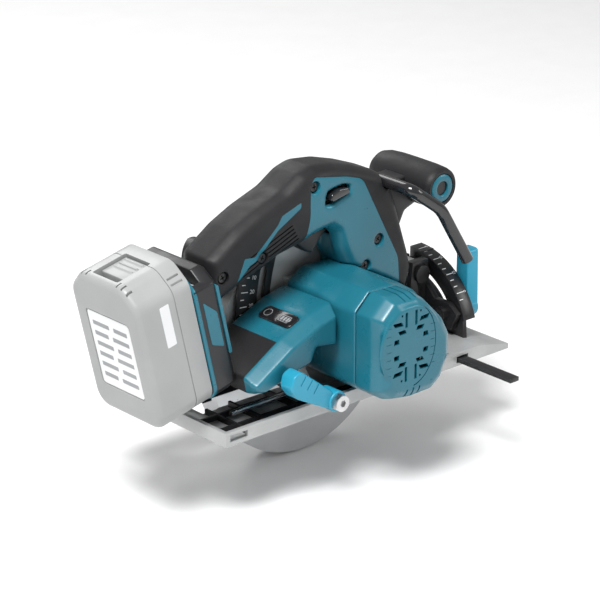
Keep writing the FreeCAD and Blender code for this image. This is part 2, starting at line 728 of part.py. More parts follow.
def battery_group():
    half = battery_width / 2
    rail_low, rail_high = 6.0, 88.0
    shoulder_top = battery_height - 14
    side = [
        (-half, 8), (-half + 8, 0), (half - 8, 0), (half, 8), (half, shoulder_top),
        (half - 14, battery_height), (-half + 14, battery_height), (-half, shoulder_top),
    ]
    shell = puffed(side, "x", [(0, 1.5), (3, 0), (battery_depth - 5, 0), (battery_depth, 4)])
    rail_half, neck_half = half - 5, half - 11
    neck = block(-5, 1, -neck_half, neck_half, rail_low, rail_high)
    rail = block(-10, -5, -rail_half, rail_half, rail_low, rail_high)
    below_button = block(0, battery_depth, -half, half, 0, battery_height - 10.5)
    room = puffed(side, "x", [(3, 3.5), (battery_depth - 3, 3.5)]).common(below_button)
    recess = block(12, battery_depth - 6, -14, 14, battery_height - 9, battery_height + 1)
    slots = [block(-11, -1, y - 1.2, y + 1.2, rail_low - 1, 34) for y in (-14, 14)]
    save("battery_case", battery_place(less(joined([shell, neck, rail]), room, recess, *slots)))

    cells = []
    for row in range(2):
        for column in range(5):
            cells.append(rod("y", 14 + 19.5 * row, 17 + 18.0 * column, 8.9, 5 - half, half - 5))
    save("battery_cells", battery_place(Part.makeCompound(cells)))

    button = block(13, battery_depth - 13, -13, 13, battery_height - 8.6, battery_height - 2)
    top = battery_height - 2
    ridge = [block(15 + 5 * i, 17 + 5 * i, -10, 10, top, top + 1.2) for i in range(3)]
    save("battery_button", battery_place(joined([button] + ridge)))

    depth = mount_depth
    outline = side[:4] + [(half, 88), (half - 12, 99), (-half + 12, 99), (-half, 88)]
    frame = puffed(outline, "x", [(-depth, 5), (-depth + 5, 0), (-0.4, 0)])
    stop = rail_low - rail_gap
    channel = block(-10 - rail_gap, -5 + rail_gap, -rail_half - rail_gap, rail_half + rail_gap, stop, 120)
    opening = block(-6, 2, -neck_half - rail_gap, neck_half + rail_gap, stop, 120)
    rear_room = block(-depth + 3, -10, -28, 28, 12, 80)
    frame = less(frame, channel, opening, rear_room)
    save("battery_mount", battery_place(frame))

    block_body = block(-depth + 4, -10.6, -24, 24, 14, 40)
    blades = [block(-10.7, -2.5, y - 0.5, y + 0.5, 16, 32) for y in (-14, 14)]
    save("terminal_block", battery_place(joined([block_body] + blades)))


def front_group(neighbours):
    core = rod("y", grip_x, grip_z, grip_radius - 5, grip_right + 2, grip_left - 2)
    neck_outline = [
        (46, 145), (68, 145), (grip_x, grip_z + 9), (grip_x + 2, grip_z - 9), (79, 122), (68, 118),
        (61, 104), (62, 92), (76, 70), (72, 60), (54, 60), (40, 120),
    ]
    neck = prism(neck_outline, "y", handle_y - 10, handle_y + 12)
    body = less(neck.fuse(core), handle_outside(), hook_shape(0.6), *neighbours)
    save("front_neck", one_solid(body))
    steps = [
        (grip_right, grip_radius - 3), (grip_right + 4, grip_radius - 1), (grip_right + 14, grip_radius),
        (grip_left - 14, grip_radius), (grip_left - 4, grip_radius - 1), (grip_left, grip_radius - 3.5),
    ]
    profile = [Vector(radius, level, 0) for level, radius in steps]
    profile = [Vector(0, grip_right, 0)] + profile + [Vector(0, grip_left, 0)]
    section = Part.Face(Part.makePolygon(profile + profile[:1]))
    sleeve = section.revolve(Vector(0, 0, 0), Vector(0, 1, 0), 360)
    sleeve.translate(Vector(grip_x, 0, grip_z))
    cap = grip_radius - 6
    ends = [
        rod("y", grip_x, grip_z, cap, grip_right - 1, grip_right + 2),
        rod("y", grip_x, grip_z, cap, grip_left - 2, grip_left + 1),
    ]
    save("front_grip", one_solid(less(sleeve, body, *ends)))
    near = ring("y", grip_x, grip_z, cap, 3.4, grip_right, grip_right + 2)
    far = ring("y", grip_x, grip_z, cap, 3.4, grip_left - 2, grip_left)
    save("grip_end_caps", Part.makeCompound([near, far]))


def hook_shape(extra):
    # a bent bar: across the front of the handle, round a corner and down to its tip
    radius = hook_radius + extra
    points = [
        Vector(hook_x, hook_inner, hook_z), Vector(hook_x, hook_outer, hook_z),
        Vector(hook_x + 26, hook_outer - 3, hook_z - 19), Vector(hook_x + 52, hook_outer - 6, hook_z - 64),
    ]
    pieces = []
    for start, end in zip(points, points[1:]):
        along = end - start
        pieces.append(Part.makeCylinder(radius, along.Length, start, along))
    for corner in points[1:3]:
        pieces.append(Part.makeSphere(radius, corner))
    return joined(pieces)


def depth_clamp():
    head = rod("y", depth_bolt_x, depth_bolt_z, 6, -6.3, case_right - 0.2)
    shank = rod("y", depth_bolt_x, depth_bolt_z, 3, -93, -6)
    spacer = rod("y", depth_bolt_x, depth_bolt_z, 7, -74, -10)
    save("depth_bolt", joined([head, shank, spacer]))

    u, v = depth_bolt_x, depth_bolt_z
    hub = rod("y", u, v, 8, -90, -75)
    paddle_view = [(u - 3, v + 7), (u - 36, v + 32), (u - 44, v + 26), (u - 42, v + 17), (u - 8, v - 3)]
    paddle = prism(paddle_view, "y", -88, -76)
    hexagon = [polar(u, v, 6.9, 60 * corner + 30) for corner in range(6)]
    nose = prism(hexagon, "y", -95, -90)
    lever = joined([hub, paddle, nose]).cut(rod("y", u, v, 3 + running_gap, -94, -70))
    save("depth_lever", lever)


def tilt_group():
    u, v = depth_pivot_x, depth_pivot_z
    # the clevis that holds the front of the saw, and its arm down to the bevel hinge
    bolt_y, bolt_z = polar(blade_y, bevel_z, bevel_slot_radius, bevel_start)
    inner_right, inner_left = case_right - loose_gap, ear_left + loose_gap
    outer_right, outer_left = -12, 13
    right_view = [(-10, v - 10), (-8, v + 10), (8, v + 10), (10, v - 10), (10, 12), (-2, 12)]
    left_view = [(-8, v - 10), (-7, v + 9), (7, v + 9), (10, v - 8), (10, 12), (2, 12)]
    right_ear = prism(moved(right_view, u, 0), "y", outer_right, inner_right)
    left_ear = prism(moved(left_view, u, 0), "y", inner_left, outer_left)
    # seen from the front: from the bevel bolt at its lower right to the depth pin at its top
    plate_view = [
        (bolt_y - 15, bolt_z + 3), (bolt_y - 6, bolt_z + 10), (bolt_y + 9, bolt_z + 10),
        (-10, v - 8), (-5, v + 6), (9, v + 6), (14, 40), (17, 10), (-6, 10), (-14, 16), (bolt_y - 9, 16),
    ]
    plate = prism(plate_view, "x", u + 6, u + 11)
    hinge = rod("x", blade_y, bevel_z, 4.6, u + 1, u + 11)
    neck = block(u + 1, u + 11, 6, 17, 6, 13)
    body = joined([right_ear, left_ear, plate, hinge, neck])
    pin_hole = rod("y", u, v, depth_pin_radius, outer_right - 1, outer_left + 1)
    hinge_hole = rod("x", blade_y, bevel_z, hinge_radius + running_gap, u - 10, u + 20)
    bolt_hole = rod("x", bolt_y, bolt_z, bevel_bolt_radius, u, u + 20)
    eye_room = rod("y", u, v, 11, inner_right, inner_left)
    save("front_bracket", one_solid(less(body, pin_hole, hinge_hole, bolt_hole, eye_room)))

    pin = rod("y", u, v, depth_pin_radius, outer_right - 2, outer_left + 2)
    pin_head = rod("y", u, v, depth_pin_radius + 2, outer_right - 3.5, outer_right)
    pin_nut = rod("y", u, v, depth_pin_radius + 2, outer_left, outer_left + 2)
    save("depth_pin", joined([pin, pin_head, pin_nut]))

    inner, outer = depth_radius - 9, depth_radius + 22
    start = depth_angle % 360 - depth_swing - 4
    end = depth_angle % 360 + 4
    guide = sector("y", u, v, inner, outer, start, end, -9, -6.5)
    slot = arc_slot("y", u, v, depth_radius, 3.2, start + 4, end - 4, -10, 0)
    tail = prism([(-111, 9), (-100, 16), (-66, 20), (-62, 9)], "y", -9, -6.5)
    roof = block(-110, -20, -10, 0, 105, 140)
    guide = less(guide.fuse(tail), slot, roof, block(-150, 0, -20, 0, -20, 9))
    save("depth_guide", one_solid(guide))

    back = hinge_back
    arm = block(back - 12, back - 7, -10, 16, 9, 14).fuse(block(back - 12, back - 4, -12, -9, 9, 16))
    barrel_rear = rod("x", blade_y, bevel_z, 4.6, back - 12, back - 6)
    post = block(back - 12, back - 6, 8, 17, 5, 12)
    rear_hole = rod("x", blade_y, bevel_z, hinge_radius + running_gap, -130, -90)
    rear = joined([arm, barrel_rear, post]).cut(rear_hole)
    save("rear_bracket", one_solid(rear))

    lever_x = quadrant_x + quadrant_width + 1.5
    bolt = rod("x", bolt_y, bolt_z, bevel_bolt_radius, u + 3, lever_x + 12.5)
    bolt_head = rod("x", bolt_y, bolt_z, 6, u + 2, u + 6)
    save("bevel_bolt", bolt.fuse(bolt_head))

    hub = rod("x", bolt_y, bolt_z, 8, lever_x, lever_x + 10.5)
    paddle_view = [
        (bolt_y - 7, bolt_z + 2), (bolt_y - 6, bolt_z + 48),
        (bolt_y + 6.5, bolt_z + 48), (bolt_y + 7, bolt_z + 2),
    ]
    paddle = prism(paddle_view, "x", lever_x + 0.5, lever_x + 12.5)
    bolt_room = rod("x", bolt_y, bolt_z, bevel_bolt_radius + running_gap, lever_x - 5, lever_x + 15)
    lever = hub.fuse(paddle).cut(bolt_room)
    save("bevel_lever", lever)


def base_group():
    half = half_length
    nose = half - nose_length
    hollow_front = fence_x - 10.5
    side_view = [
        (-half, 0), (half, 0), (half, nose_height), (nose, skirt_height), (-half, skirt_height),
    ]
    tray = prism(side_view, "y", -half_width, half_width)
    hollow_view = [
        (-half + skirt_thickness, plate_thickness), (hollow_front, plate_thickness),
        (hollow_front, 30), (-half + skirt_thickness, 30),
    ]
    hollow = prism(hollow_view, "y", -half_width + skirt_thickness, half_width - skirt_thickness)
    front_room = block(fence_x - 8.5, quadrant_x + 7.5, -14, 34, plate_thickness, 30)
    ribs = [block(x, x + 2.2, -half_width + 2, -16, 1, rib_height) for x in (-118, -96, -62, -36)]
    ribs += [block(-half + 2, hollow_front, y, y + 2.2, 1, rib_height) for y in (-52, -30)]
    ribs.append(block(-half + 2, hollow_front, 52, 54, 1, rib_height))
    tray = tray.cut(hollow).cut(front_room).fuse(ribs)

    blade_slot = block(blade_x - case_outer - 3.5, blade_x + case_outer + 1.5, -13, 44, -1, 30)
    gear_room = block(blade_x - 30, blade_x + 30, -30, -12, -1, 30)
    front_hinge = block(depth_pivot_x - 0.5, depth_pivot_x + 11.8, 5, 20, -1, 30)
    rear_hinge = block(hinge_back - 14, hinge_back, -14, 20, -1, 30)
    slot_half = fence_width / 2 + 1.5
    bar_slot = block(
        fence_x - slot_half, fence_x + slot_half, -half_width - 1, half_width + 1,
        plate_thickness, plate_thickness + fence_bar + 1.8,
    )
    screw_hole = rod("z", fence_x, fence_screw_y, fence_screw_radius + running_gap, 6, 20)
    quadrant_seat = block(quadrant_x, quadrant_x + 4, -48, -20, skirt_height - 3, 30)
    skirt_inside = -half_width + skirt_thickness + 1
    rear_slot = block(-half + 4.5, -half + 20.5, -half_width - 1, skirt_inside, 3, 8)
    tray = less(tray, blade_slot, gear_room, front_hinge, rear_hinge)
    tray = less(tray, bar_slot, rear_slot, screw_hole, quadrant_seat)

    # bearings for the bevel hinge, with round backs about its axis
    lugs = []
    front, back = depth_pivot_x, hinge_back
    spans = [
        (front - 3, front - 0.5), (front + 11.8, front + 14.5),
        (back - 17, back - 14), (back - 3.5, back - 0.3),
    ]
    for low, high in spans:
        lugs.append(rod("x", blade_y, bevel_z, 4.8, low, high))
        lugs.append(block(low, high, blade_y - 7, blade_y + 7, 0.5, bevel_z))
    tray = tray.fuse(lugs)
    tray = less(
        tray, rod("x", blade_y, bevel_z, hinge_radius, back - 21, back + 4),
        rod("x", blade_y, bevel_z, hinge_radius, front - 5, front + 20),
    )
    save("base_plate", one_solid(tray))

    pins = [
        rod("x", blade_y, bevel_z, hinge_radius, front - 3, front + 15),
        rod("x", blade_y, bevel_z, hinge_radius, back - 17.5, back + 0.2),
    ]
    save("bevel_pins", Part.makeCompound(pins))


def quadrant_group():
    low, high = quadrant_x, quadrant_x + quadrant_width
    start, end = bevel_start - bevel_swing - 13, bevel_start + 9
    plate = sector("x", blade_y, bevel_z, 25, bevel_radius, start, end, low, low + 4)
    rim = sector("x", blade_y, bevel_z, bevel_radius - 4, bevel_radius, start, end, low, high)
    top = bevel_z + bevel_radius - 1
    head = prism([(2, top - 18), (9, top - 18), (12, top - 6), (10, top), (-2, top)], "x", low, high)
    seat = skirt_height - 3
    foot = prism([(-48, seat), (-20, seat), (-20, 22), (-34, 30), (-47, 24)], "x", low, low + 4)
    slot = arc_slot(
        "x", blade_y, bevel_z, bevel_slot_radius, bevel_bolt_radius + 0.3,
        bevel_start - bevel_swing, bevel_start, low - 1, high + 1,
    )
    quadrant = less(joined([plate, rim, head, foot]), slot)
    save("bevel_quadrant", one_solid(quadrant))


def fence_group():
    low = plate_thickness + 0.3
    top = low + fence_bar
    half = fence_width / 2
    bar = block(fence_x - half, fence_x + half, -half_width - fence_out, half_width + 6, low, top)
    shoe = block(fence_x - 34, fence_x + 30, half_width + 4, half_width + 7, -12, top + 3)
    save("rip_fence", bar.fuse(shoe))

    y = fence_screw_y
    screw = rod("z", fence_x, y, fence_screw_radius, top + 0.2, 22)
    wings = block(fence_x - 6.5, fence_x + 6.5, y - 1.5, y + 1.5, 20, 26)
    knob = rod("z", fence_x, y, 5.5, 16, 20)
    save("fence_screw", joined([screw, wings, knob]))


def extras():
    rest = rib_height + 2
    tool = rod("x", -38, rest, 2, -112, -34)
    bend = rod("y", -36, rest, 2, -58, -38)
    save("hex_wrench", tool.fuse(bend))
    # the lens sits on the handle's front face
    lamp = rod("x", handle_y - 4, 66, 4, 60, 74).cut(handle_outside())
    save("lamp_lens", one_solid(lamp))


def build():
    motor_outside = loft([shoulder, shoulder, barrel, barrel], "y", [motor_front, -48, -63, motor_split])
    gearcase_outside = prism(gearcase, "y", housing_back, case_right)
    mount_outside = battery_place(block(-mount_depth, 60, -60, 60, -30, 150))
    case = case_volume()
    ear_outside = prism(ear, "y", case_right, ear_left)
    front_neighbours = [motor_outside, gearcase_outside, case, ear_outside]
    blade_case()
    lower_guard()
    spindle_group()
    rotor_group()
    gear_housing()
    shaft_lock()
    motor_group()
    controller_group()
    handle_group(front_neighbours + [mount_outside])
    screws()
    trigger_group(case)
    battery_group()
    front_group(front_neighbours)
    save("hook", hook_shape(0))
    depth_clamp()
    tilt_group()
    base_group()
    quadrant_group()
    fence_group()
    extras()


build()
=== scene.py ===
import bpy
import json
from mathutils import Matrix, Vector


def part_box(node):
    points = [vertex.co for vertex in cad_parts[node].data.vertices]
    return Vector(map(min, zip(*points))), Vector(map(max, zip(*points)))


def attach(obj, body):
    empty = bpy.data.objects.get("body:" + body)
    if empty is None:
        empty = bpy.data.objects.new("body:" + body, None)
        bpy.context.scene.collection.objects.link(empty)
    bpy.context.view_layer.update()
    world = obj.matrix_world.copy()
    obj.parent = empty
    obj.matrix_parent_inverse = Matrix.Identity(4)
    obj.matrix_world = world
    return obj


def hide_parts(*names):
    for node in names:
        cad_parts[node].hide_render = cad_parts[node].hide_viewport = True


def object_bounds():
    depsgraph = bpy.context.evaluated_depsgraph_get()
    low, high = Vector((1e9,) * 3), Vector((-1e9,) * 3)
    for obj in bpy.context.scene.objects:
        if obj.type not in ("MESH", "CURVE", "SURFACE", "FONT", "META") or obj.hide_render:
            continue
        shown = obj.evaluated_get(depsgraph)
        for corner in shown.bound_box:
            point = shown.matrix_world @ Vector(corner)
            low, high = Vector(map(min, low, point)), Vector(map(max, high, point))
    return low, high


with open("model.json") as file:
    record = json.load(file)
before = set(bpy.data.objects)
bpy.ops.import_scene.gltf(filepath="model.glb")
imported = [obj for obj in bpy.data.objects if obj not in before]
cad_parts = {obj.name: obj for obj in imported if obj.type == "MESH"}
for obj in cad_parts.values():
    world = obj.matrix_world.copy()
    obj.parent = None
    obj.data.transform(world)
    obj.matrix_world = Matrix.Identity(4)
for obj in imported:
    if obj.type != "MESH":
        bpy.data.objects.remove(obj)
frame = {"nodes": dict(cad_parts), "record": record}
cadBox = [list(corner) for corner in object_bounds()]

import json
import math

import bpy
from mathutils import Matrix, Vector

mm = 0.001


# small helpers, all lengths handed to them are millimetres

def pick(piece, *others):
    if bpy.context.mode != "OBJECT":
        bpy.ops.object.mode_set(mode="OBJECT")
    bpy.ops.object.select_all(action="DESELECT")
    for thing in (piece, *others):
        thing.select_set(True)
    bpy.context.view_layer.objects.active = piece


def editAll(piece):
    pick(piece)
    bpy.ops.object.mode_set(mode="EDIT")
    bpy.ops.mesh.select_all(action="SELECT")


def finishWith(piece, kind, **settings):
    pick(piece)
    modifier = piece.modifiers.new(kind, kind)
    for setting, value in settings.items():
        setattr(modifier, setting, value)
    bpy.ops.object.modifier_apply(modifier=modifier.name)
    return piece


def combine(piece, tool, operation="DIFFERENCE", keep=False, solver="MANIFOLD"):
    finishWith(piece, "BOOLEAN", object=tool, operation=operation, solver=solver)
    if not keep:
        bpy.data.objects.remove(tool)
    return piece


def spot(axis, u, v, level):
    places = {"x": (level, u, v), "y": (u, level, v), "z": (u, v, level)}
    return Vector(places[axis]) * mm


def slab(name, outline, axis, low, high, corner=0, rim=0, steps=3):
    # an outline pulled out along an axis, with round corners and a rounded rim
    bpy.ops.mesh.primitive_circle_add(vertices=len(outline), fill_type="NGON", location=(0, 0, 0))
    piece = bpy.context.object
    piece.name = name
    for vertex, (u, v) in zip(piece.data.vertices, outline):
        vertex.co = spot(axis, u, v, low)
    editAll(piece)
    if corner:
        bpy.ops.mesh.bevel(offset=corner * mm, segments=steps, affect="VERTICES")
        bpy.ops.mesh.select_all(action="SELECT")
    pull = spot(axis, 0, 0, high - low)
    bpy.ops.mesh.extrude_region_move(TRANSFORM_OT_translate={"value": pull})
    bpy.ops.mesh.select_all(action="SELECT")
    bpy.ops.mesh.normals_make_consistent(inside=False)
    bpy.ops.object.mode_set(mode="OBJECT")
    if rim:
        roundRim(piece, rim, steps)
    return piece


def roundRim(piece, width, steps=3, angle=50):
    return finishWith(piece, "BEVEL", width=width * mm, segments=steps, limit_method="ANGLE",
                      angle_limit=math.radians(angle), harden_normals=False)


def box(name, x0, x1, y0, y1, z0, z1, corner=0, rim=0):
    return slab(name, [(x0, y0), (x1, y0), (x1, y1), (x0, y1)], "z", z0, z1, corner, rim)


def turned(name, axis, u, v, profile, sides=48):
    # a closed section of (radius, level) pairs spun about an axis
    bpy.ops.mesh.primitive_circle_add(vertices=len(profile), fill_type="NOTHING", location=(0, 0, 0))
    piece = bpy.context.object
    piece.name = name
    for vertex, (radius, level) in zip(piece.data.vertices, profile):
        vertex.co = spot(axis, u + radius, v, level)
    editAll(piece)
    bpy.ops.mesh.spin(steps=sides, angle=2 * math.pi, center=spot(axis, u, v, 0),
                      axis=spot(axis, 0, 0, 1 / mm))
    bpy.ops.mesh.select_all(action="SELECT")
    bpy.ops.mesh.remove_doubles(threshold=0.002 * mm)
    bpy.ops.mesh.delete_loose(use_verts=True, use_edges=True, use_faces=False)
    bpy.ops.mesh.select_all(action="SELECT")
    bpy.ops.mesh.normals_make_consistent(inside=False)
    bpy.ops.object.mode_set(mode="OBJECT")
    return piece


def rod(name, axis, u, v, radius, low, high, sides=48):
    return turned(name, axis, u, v, [(0, low), (radius, low), (radius, high), (0, high)], sides)


def hexagon(u, v, radius, start=0):
    corners = [math.radians(60 * corner + start) for corner in range(6)]
    return [(u + radius * math.cos(angle), v + radius * math.sin(angle)) for angle in corners]


def digits(text, size, thickness=0.12):
    # plain figures as a mesh, centred on the origin
    bpy.ops.object.text_add(location=(0, 0, 0))
    piece = bpy.context.object
    piece.data.body = text
    piece.data.size = size * mm
    piece.data.extrude = thickness * mm
    piece.data.align_x = piece.data.align_y = "CENTER"
    pick(piece)
    bpy.ops.object.convert(target="MESH")
    return piece


def twin(piece, name, matrix=None):
    other = piece.copy()
    other.data = piece.data.copy()
    other.name = name
    bpy.context.scene.collection.objects.link(other)
    if matrix is not None:
        other.data.transform(matrix)
    return other


def joinAll(name, pieces):
    pick(*pieces)
    bpy.ops.object.join()
    pieces[0].name = name
    return pieces[0]


def copyOf(node, name):
    # the CAD node's own shape as a start: merged, with nothing of the frame left on it
    piece = twin(frame["nodes"][node], name)
    piece.parent = None
    piece.hide_render = piece.hide_viewport = False
    for key in list(piece.keys()):
        del piece[key]
    piece.data.materials.clear()
    editAll(piece)
    bpy.ops.mesh.remove_doubles(threshold=0.004 * mm)
    bpy.ops.object.mode_set(mode="OBJECT")
    return piece


def soften(piece, voxel, rounds):
    # rounds every edge as a mould does
    finishWith(piece, "REMESH", mode="VOXEL", voxel_size=voxel * mm)
    finishWith(piece, "SMOOTH", factor=0.5, iterations=rounds)
    return piece


def flatten(piece, angle=2):
    # joins the loose triangles of flat faces, so that only real edges are left to round
    editAll(piece)
    bpy.ops.mesh.dissolve_limited(angle_limit=math.radians(angle))
    bpy.ops.object.mode_set(mode="OBJECT")
    return piece


# finishes

def nodeTree(name):
    material = bpy.data.materials.new(name)
    material.use_nodes = True
    tree = material.node_tree
    shader = tree.nodes["Principled BSDF"]
    place = tree.nodes.new("ShaderNodeTexCoord")
    return material, tree, shader, place.outputs["Object"]


def noise(tree, place, scale, detail=3.0, roughness=0.55, stretch=None):
    if stretch:
        mapping = tree.nodes.new("ShaderNodeMapping")
        mapping.inputs["Scale"].default_value = stretch
        tree.links.new(place, mapping.inputs["Vector"])
        place = mapping.outputs["Vector"]
    texture = tree.nodes.new("ShaderNodeTexNoise")
    texture.inputs["Scale"].default_value = scale
    texture.inputs["Detail"].default_value = detail
    texture.inputs["Roughness"].default_value = roughness
    tree.links.new(place, texture.inputs["Vector"])
    return texture.outputs["Fac"]


def spread(tree, value, low, high, start=0.3, end=0.7):
    ranged = tree.nodes.new("ShaderNodeMapRange")
    ranged.inputs["From Min"].default_value = start
    ranged.inputs["From Max"].default_value = end
    ranged.inputs["To Min"].default_value = low
    ranged.inputs["To Max"].default_value = high
    tree.links.new(value, ranged.inputs["Value"])
    return ranged.outputs["Result"]


def mixed(tree, factor, first, second):
    mix = tree.nodes.new("ShaderNodeMix")
    mix.data_type = "RGBA"
    mix.inputs[6].default_value = (*first, 1)
    if isinstance(second, tuple):
        mix.inputs[7].default_value = (*second, 1)
    else:
        tree.links.new(second, mix.inputs[7])
    tree.links.new(factor, mix.inputs["Factor"])
    return mix.outputs[2]


def bumped(tree, shader, height, strength, distance):
    bump = tree.nodes.new("ShaderNodeBump")
    bump.inputs["Strength"].default_value = strength
    bump.inputs["Distance"].default_value = distance * mm
    tree.links.new(height, bump.inputs["Height"])
    tree.links.new(bump.outputs["Normal"], shader.inputs["Normal"])


def edgeShare(tree, low, high):
    # rises where a surface turns sharply outwards, where hands and benches rub
    geometry = tree.nodes.new("ShaderNodeNewGeometry")
    return spread(tree, geometry.outputs["Pointiness"], 0, 1, low, high)


def times(tree, first, second):
    product = tree.nodes.new("ShaderNodeMath")
    product.operation = "MULTIPLY"
    tree.links.new(first, product.inputs[0])
    tree.links.new(second, product.inputs[1])
    return product.outputs["Value"]


def mouldedPlastic(name, colour, deep, rough, grain=1500, depth=0.04, coat=0.0):
    material, tree, shader, place = nodeTree(name)
    cloud = noise(tree, place, 22, 4)
    tree.links.new(mixed(tree, spread(tree, cloud, 0, 1), colour, deep), shader.inputs["Base Color"])
    fine = noise(tree, place, grain, 2)
    smudge = noise(tree, place, 55, 5)
    tree.links.new(spread(tree, smudge, rough - 0.05, rough + 0.06), shader.inputs["Roughness"])
    shader.inputs["Specular IOR Level"].default_value = 0.5
    shader.inputs["Coat Weight"].default_value = coat
    bumped(tree, shader, fine, 0.35, depth)
    return material


def softRubber(name, colour, deep):
    material, tree, shader, place = nodeTree(name)
    cells = tree.nodes.new("ShaderNodeTexVoronoi")
    cells.inputs["Scale"].default_value = 900
    tree.links.new(place, cells.inputs["Vector"])
    patches = noise(tree, place, 30, 4)
    tree.links.new(mixed(tree, spread(tree, patches, 0, 1), colour, deep), shader.inputs["Base Color"])
    tree.links.new(spread(tree, noise(tree, place, 90, 4), 0.46, 0.60), shader.inputs["Roughness"])
    shader.inputs["Specular IOR Level"].default_value = 0.30
    shader.inputs["Sheen Weight"].default_value = 0.02
    shader.inputs["Sheen Roughness"].default_value = 0.5
    bumped(tree, shader, cells.outputs["Distance"], 0.5, 0.10)
    return material


def castMetal(name, colour, deep, rough, metal, grain=420):
    material, tree, shader, place = nodeTree(name)
    cloud = noise(tree, place, 35, 5)
    tree.links.new(mixed(tree, spread(tree, cloud, 0, 1), colour, deep), shader.inputs["Base Color"])
    shader.inputs["Metallic"].default_value = metal
    tree.links.new(spread(tree, noise(tree, place, 120, 4), rough - 0.07, rough + 0.08),
                   shader.inputs["Roughness"])
    bumped(tree, shader, noise(tree, place, grain, 4), 0.4, 0.06)
    return material


def turnedSteel(name, colour, rough, stretch=(1, 1, 40), scale=60):
    material, tree, shader, place = nodeTree(name)
    lines = noise(tree, place, scale, 5, 0.6, stretch)
    dark = tuple(0.78 * part for part in colour)
    tree.links.new(mixed(tree, spread(tree, lines, 0, 1), colour, dark), shader.inputs["Base Color"])
    shader.inputs["Metallic"].default_value = 1.0
    tree.links.new(spread(tree, lines, rough - 0.08, rough + 0.10), shader.inputs["Roughness"])
    bumped(tree, shader, lines, 0.25, 0.03)
    return material


def bladeSteel(name, colour, centre):
    # grinding marks run round the blade, so the pattern reads the distance from its middle
    material, tree, shader, place = nodeTree(name)
    mapping = tree.nodes.new("ShaderNodeMapping")
    mapping.inputs["Location"].default_value = (-centre.x, 0, -centre.z)
    mapping.inputs["Scale"].default_value = (1, 0, 1)
    tree.links.new(place, mapping.inputs["Vector"])
    length = tree.nodes.new("ShaderNodeVectorMath")
    length.operation = "LENGTH"
    tree.links.new(mapping.outputs["Vector"], length.inputs[0])
    rings = tree.nodes.new("ShaderNodeTexNoise")
    rings.noise_dimensions = "1D"
    rings.inputs["Scale"].default_value = 1800
    rings.inputs["Detail"].default_value = 4
    tree.links.new(length.outputs["Value"], rings.inputs["W"])
    dark = tuple(0.74 * part for part in colour)
    tree.links.new(mixed(tree, spread(tree, rings.outputs["Fac"], 0, 1), colour, dark),
                   shader.inputs["Base Color"])
    shader.inputs["Metallic"].default_value = 1.0
    tree.links.new(spread(tree, rings.outputs["Fac"], 0.24, 0.42), shader.inputs["Roughness"])
    bumped(tree, shader, rings.outputs["Fac"], 0.2, 0.02)
    return material


def paintedSteel(name, colour, bare, rough):
    material, tree, shader, place = nodeTree(name)
    scratches = noise(tree, place, 240, 6, 0.7)
    worn = times(tree, edgeShare(tree, 0.62, 0.80), spread(tree, scratches, 0, 0.5, 0.5, 0.75))
    tree.links.new(mixed(tree, worn, colour, bare), shader.inputs["Base Color"])
    shader.inputs["Metallic"].default_value = 0.0
    tree.links.new(spread(tree, noise(tree, place, 70, 5), rough - 0.06, rough + 0.08),
                   shader.inputs["Roughness"])
    bumped(tree, shader, noise(tree, place, 700, 3), 0.3, 0.03)
    return material


def trayMetalWithShadedHollow(name, colour, deep, dark, half):
    # pale casting whose hollow is painted dark as shade: the painted shade is told apart by place
    material, tree, shader, place = nodeTree(name)
    parts = tree.nodes.new("ShaderNodeSeparateXYZ")
    tree.links.new(place, parts.inputs[0])

    def beyond(axis, limit, sign):
        step = tree.nodes.new("ShaderNodeMath")
        step.operation = "GREATER_THAN" if sign > 0 else "LESS_THAN"
        step.inputs[1].default_value = limit * mm
        tree.links.new(parts.outputs[axis], step.inputs[0])
        return step.outputs["Value"]

    # mask of the hollow, where shade is painted in as a dark colour
    inside = beyond("X", -half[0] + 3.7, 1)
    for axis, limit, sign in (("X", half[0] - 62, -1), ("Y", -half[1] + 3.7, 1),
                              ("Y", half[1] - 3.7, -1), ("Z", 2.3, 1), ("Z", 10.2, -1)):
        inside = times(tree, inside, beyond(axis, limit, sign))
    cloud = noise(tree, place, 40, 5)
    mix = tree.nodes.new("ShaderNodeMix")
    mix.data_type = "RGBA"
    tree.links.new(mixed(tree, spread(tree, cloud, 0, 1), colour, deep), mix.inputs[6])
    # the painted shade of the hollow
    mix.inputs[7].default_value = (*dark, 1)
    tree.links.new(inside, mix.inputs["Factor"])
    tree.links.new(mix.outputs[2], shader.inputs["Base Color"])
    shader.inputs["Metallic"].default_value = 0.35
    tree.links.new(spread(tree, noise(tree, place, 130, 4), 0.38, 0.52), shader.inputs["Roughness"])
    bumped(tree, shader, noise(tree, place, 380, 4), 0.35, 0.05)
    return material


def clearPlastic(name, colour):
    material, tree, shader, place = nodeTree(name)
    shader.inputs["Transmission Weight"].default_value = 0.9
    shader.inputs["IOR"].default_value = 1.49
    cloud = noise(tree, place, 300, 3)
    faint = tuple(0.9 * part for part in colour)
    tree.links.new(mixed(tree, cloud, colour, faint), shader.inputs["Base Color"])
    tree.links.new(spread(tree, cloud, 0.08, 0.18), shader.inputs["Roughness"])
    return material


bladeMiddle = (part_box("saw_blade")[0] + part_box("saw_blade")[1]) / 2
baseHalf = [value / mm for value in (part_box("base_plate")[1].x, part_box("base_plate")[1].y)]

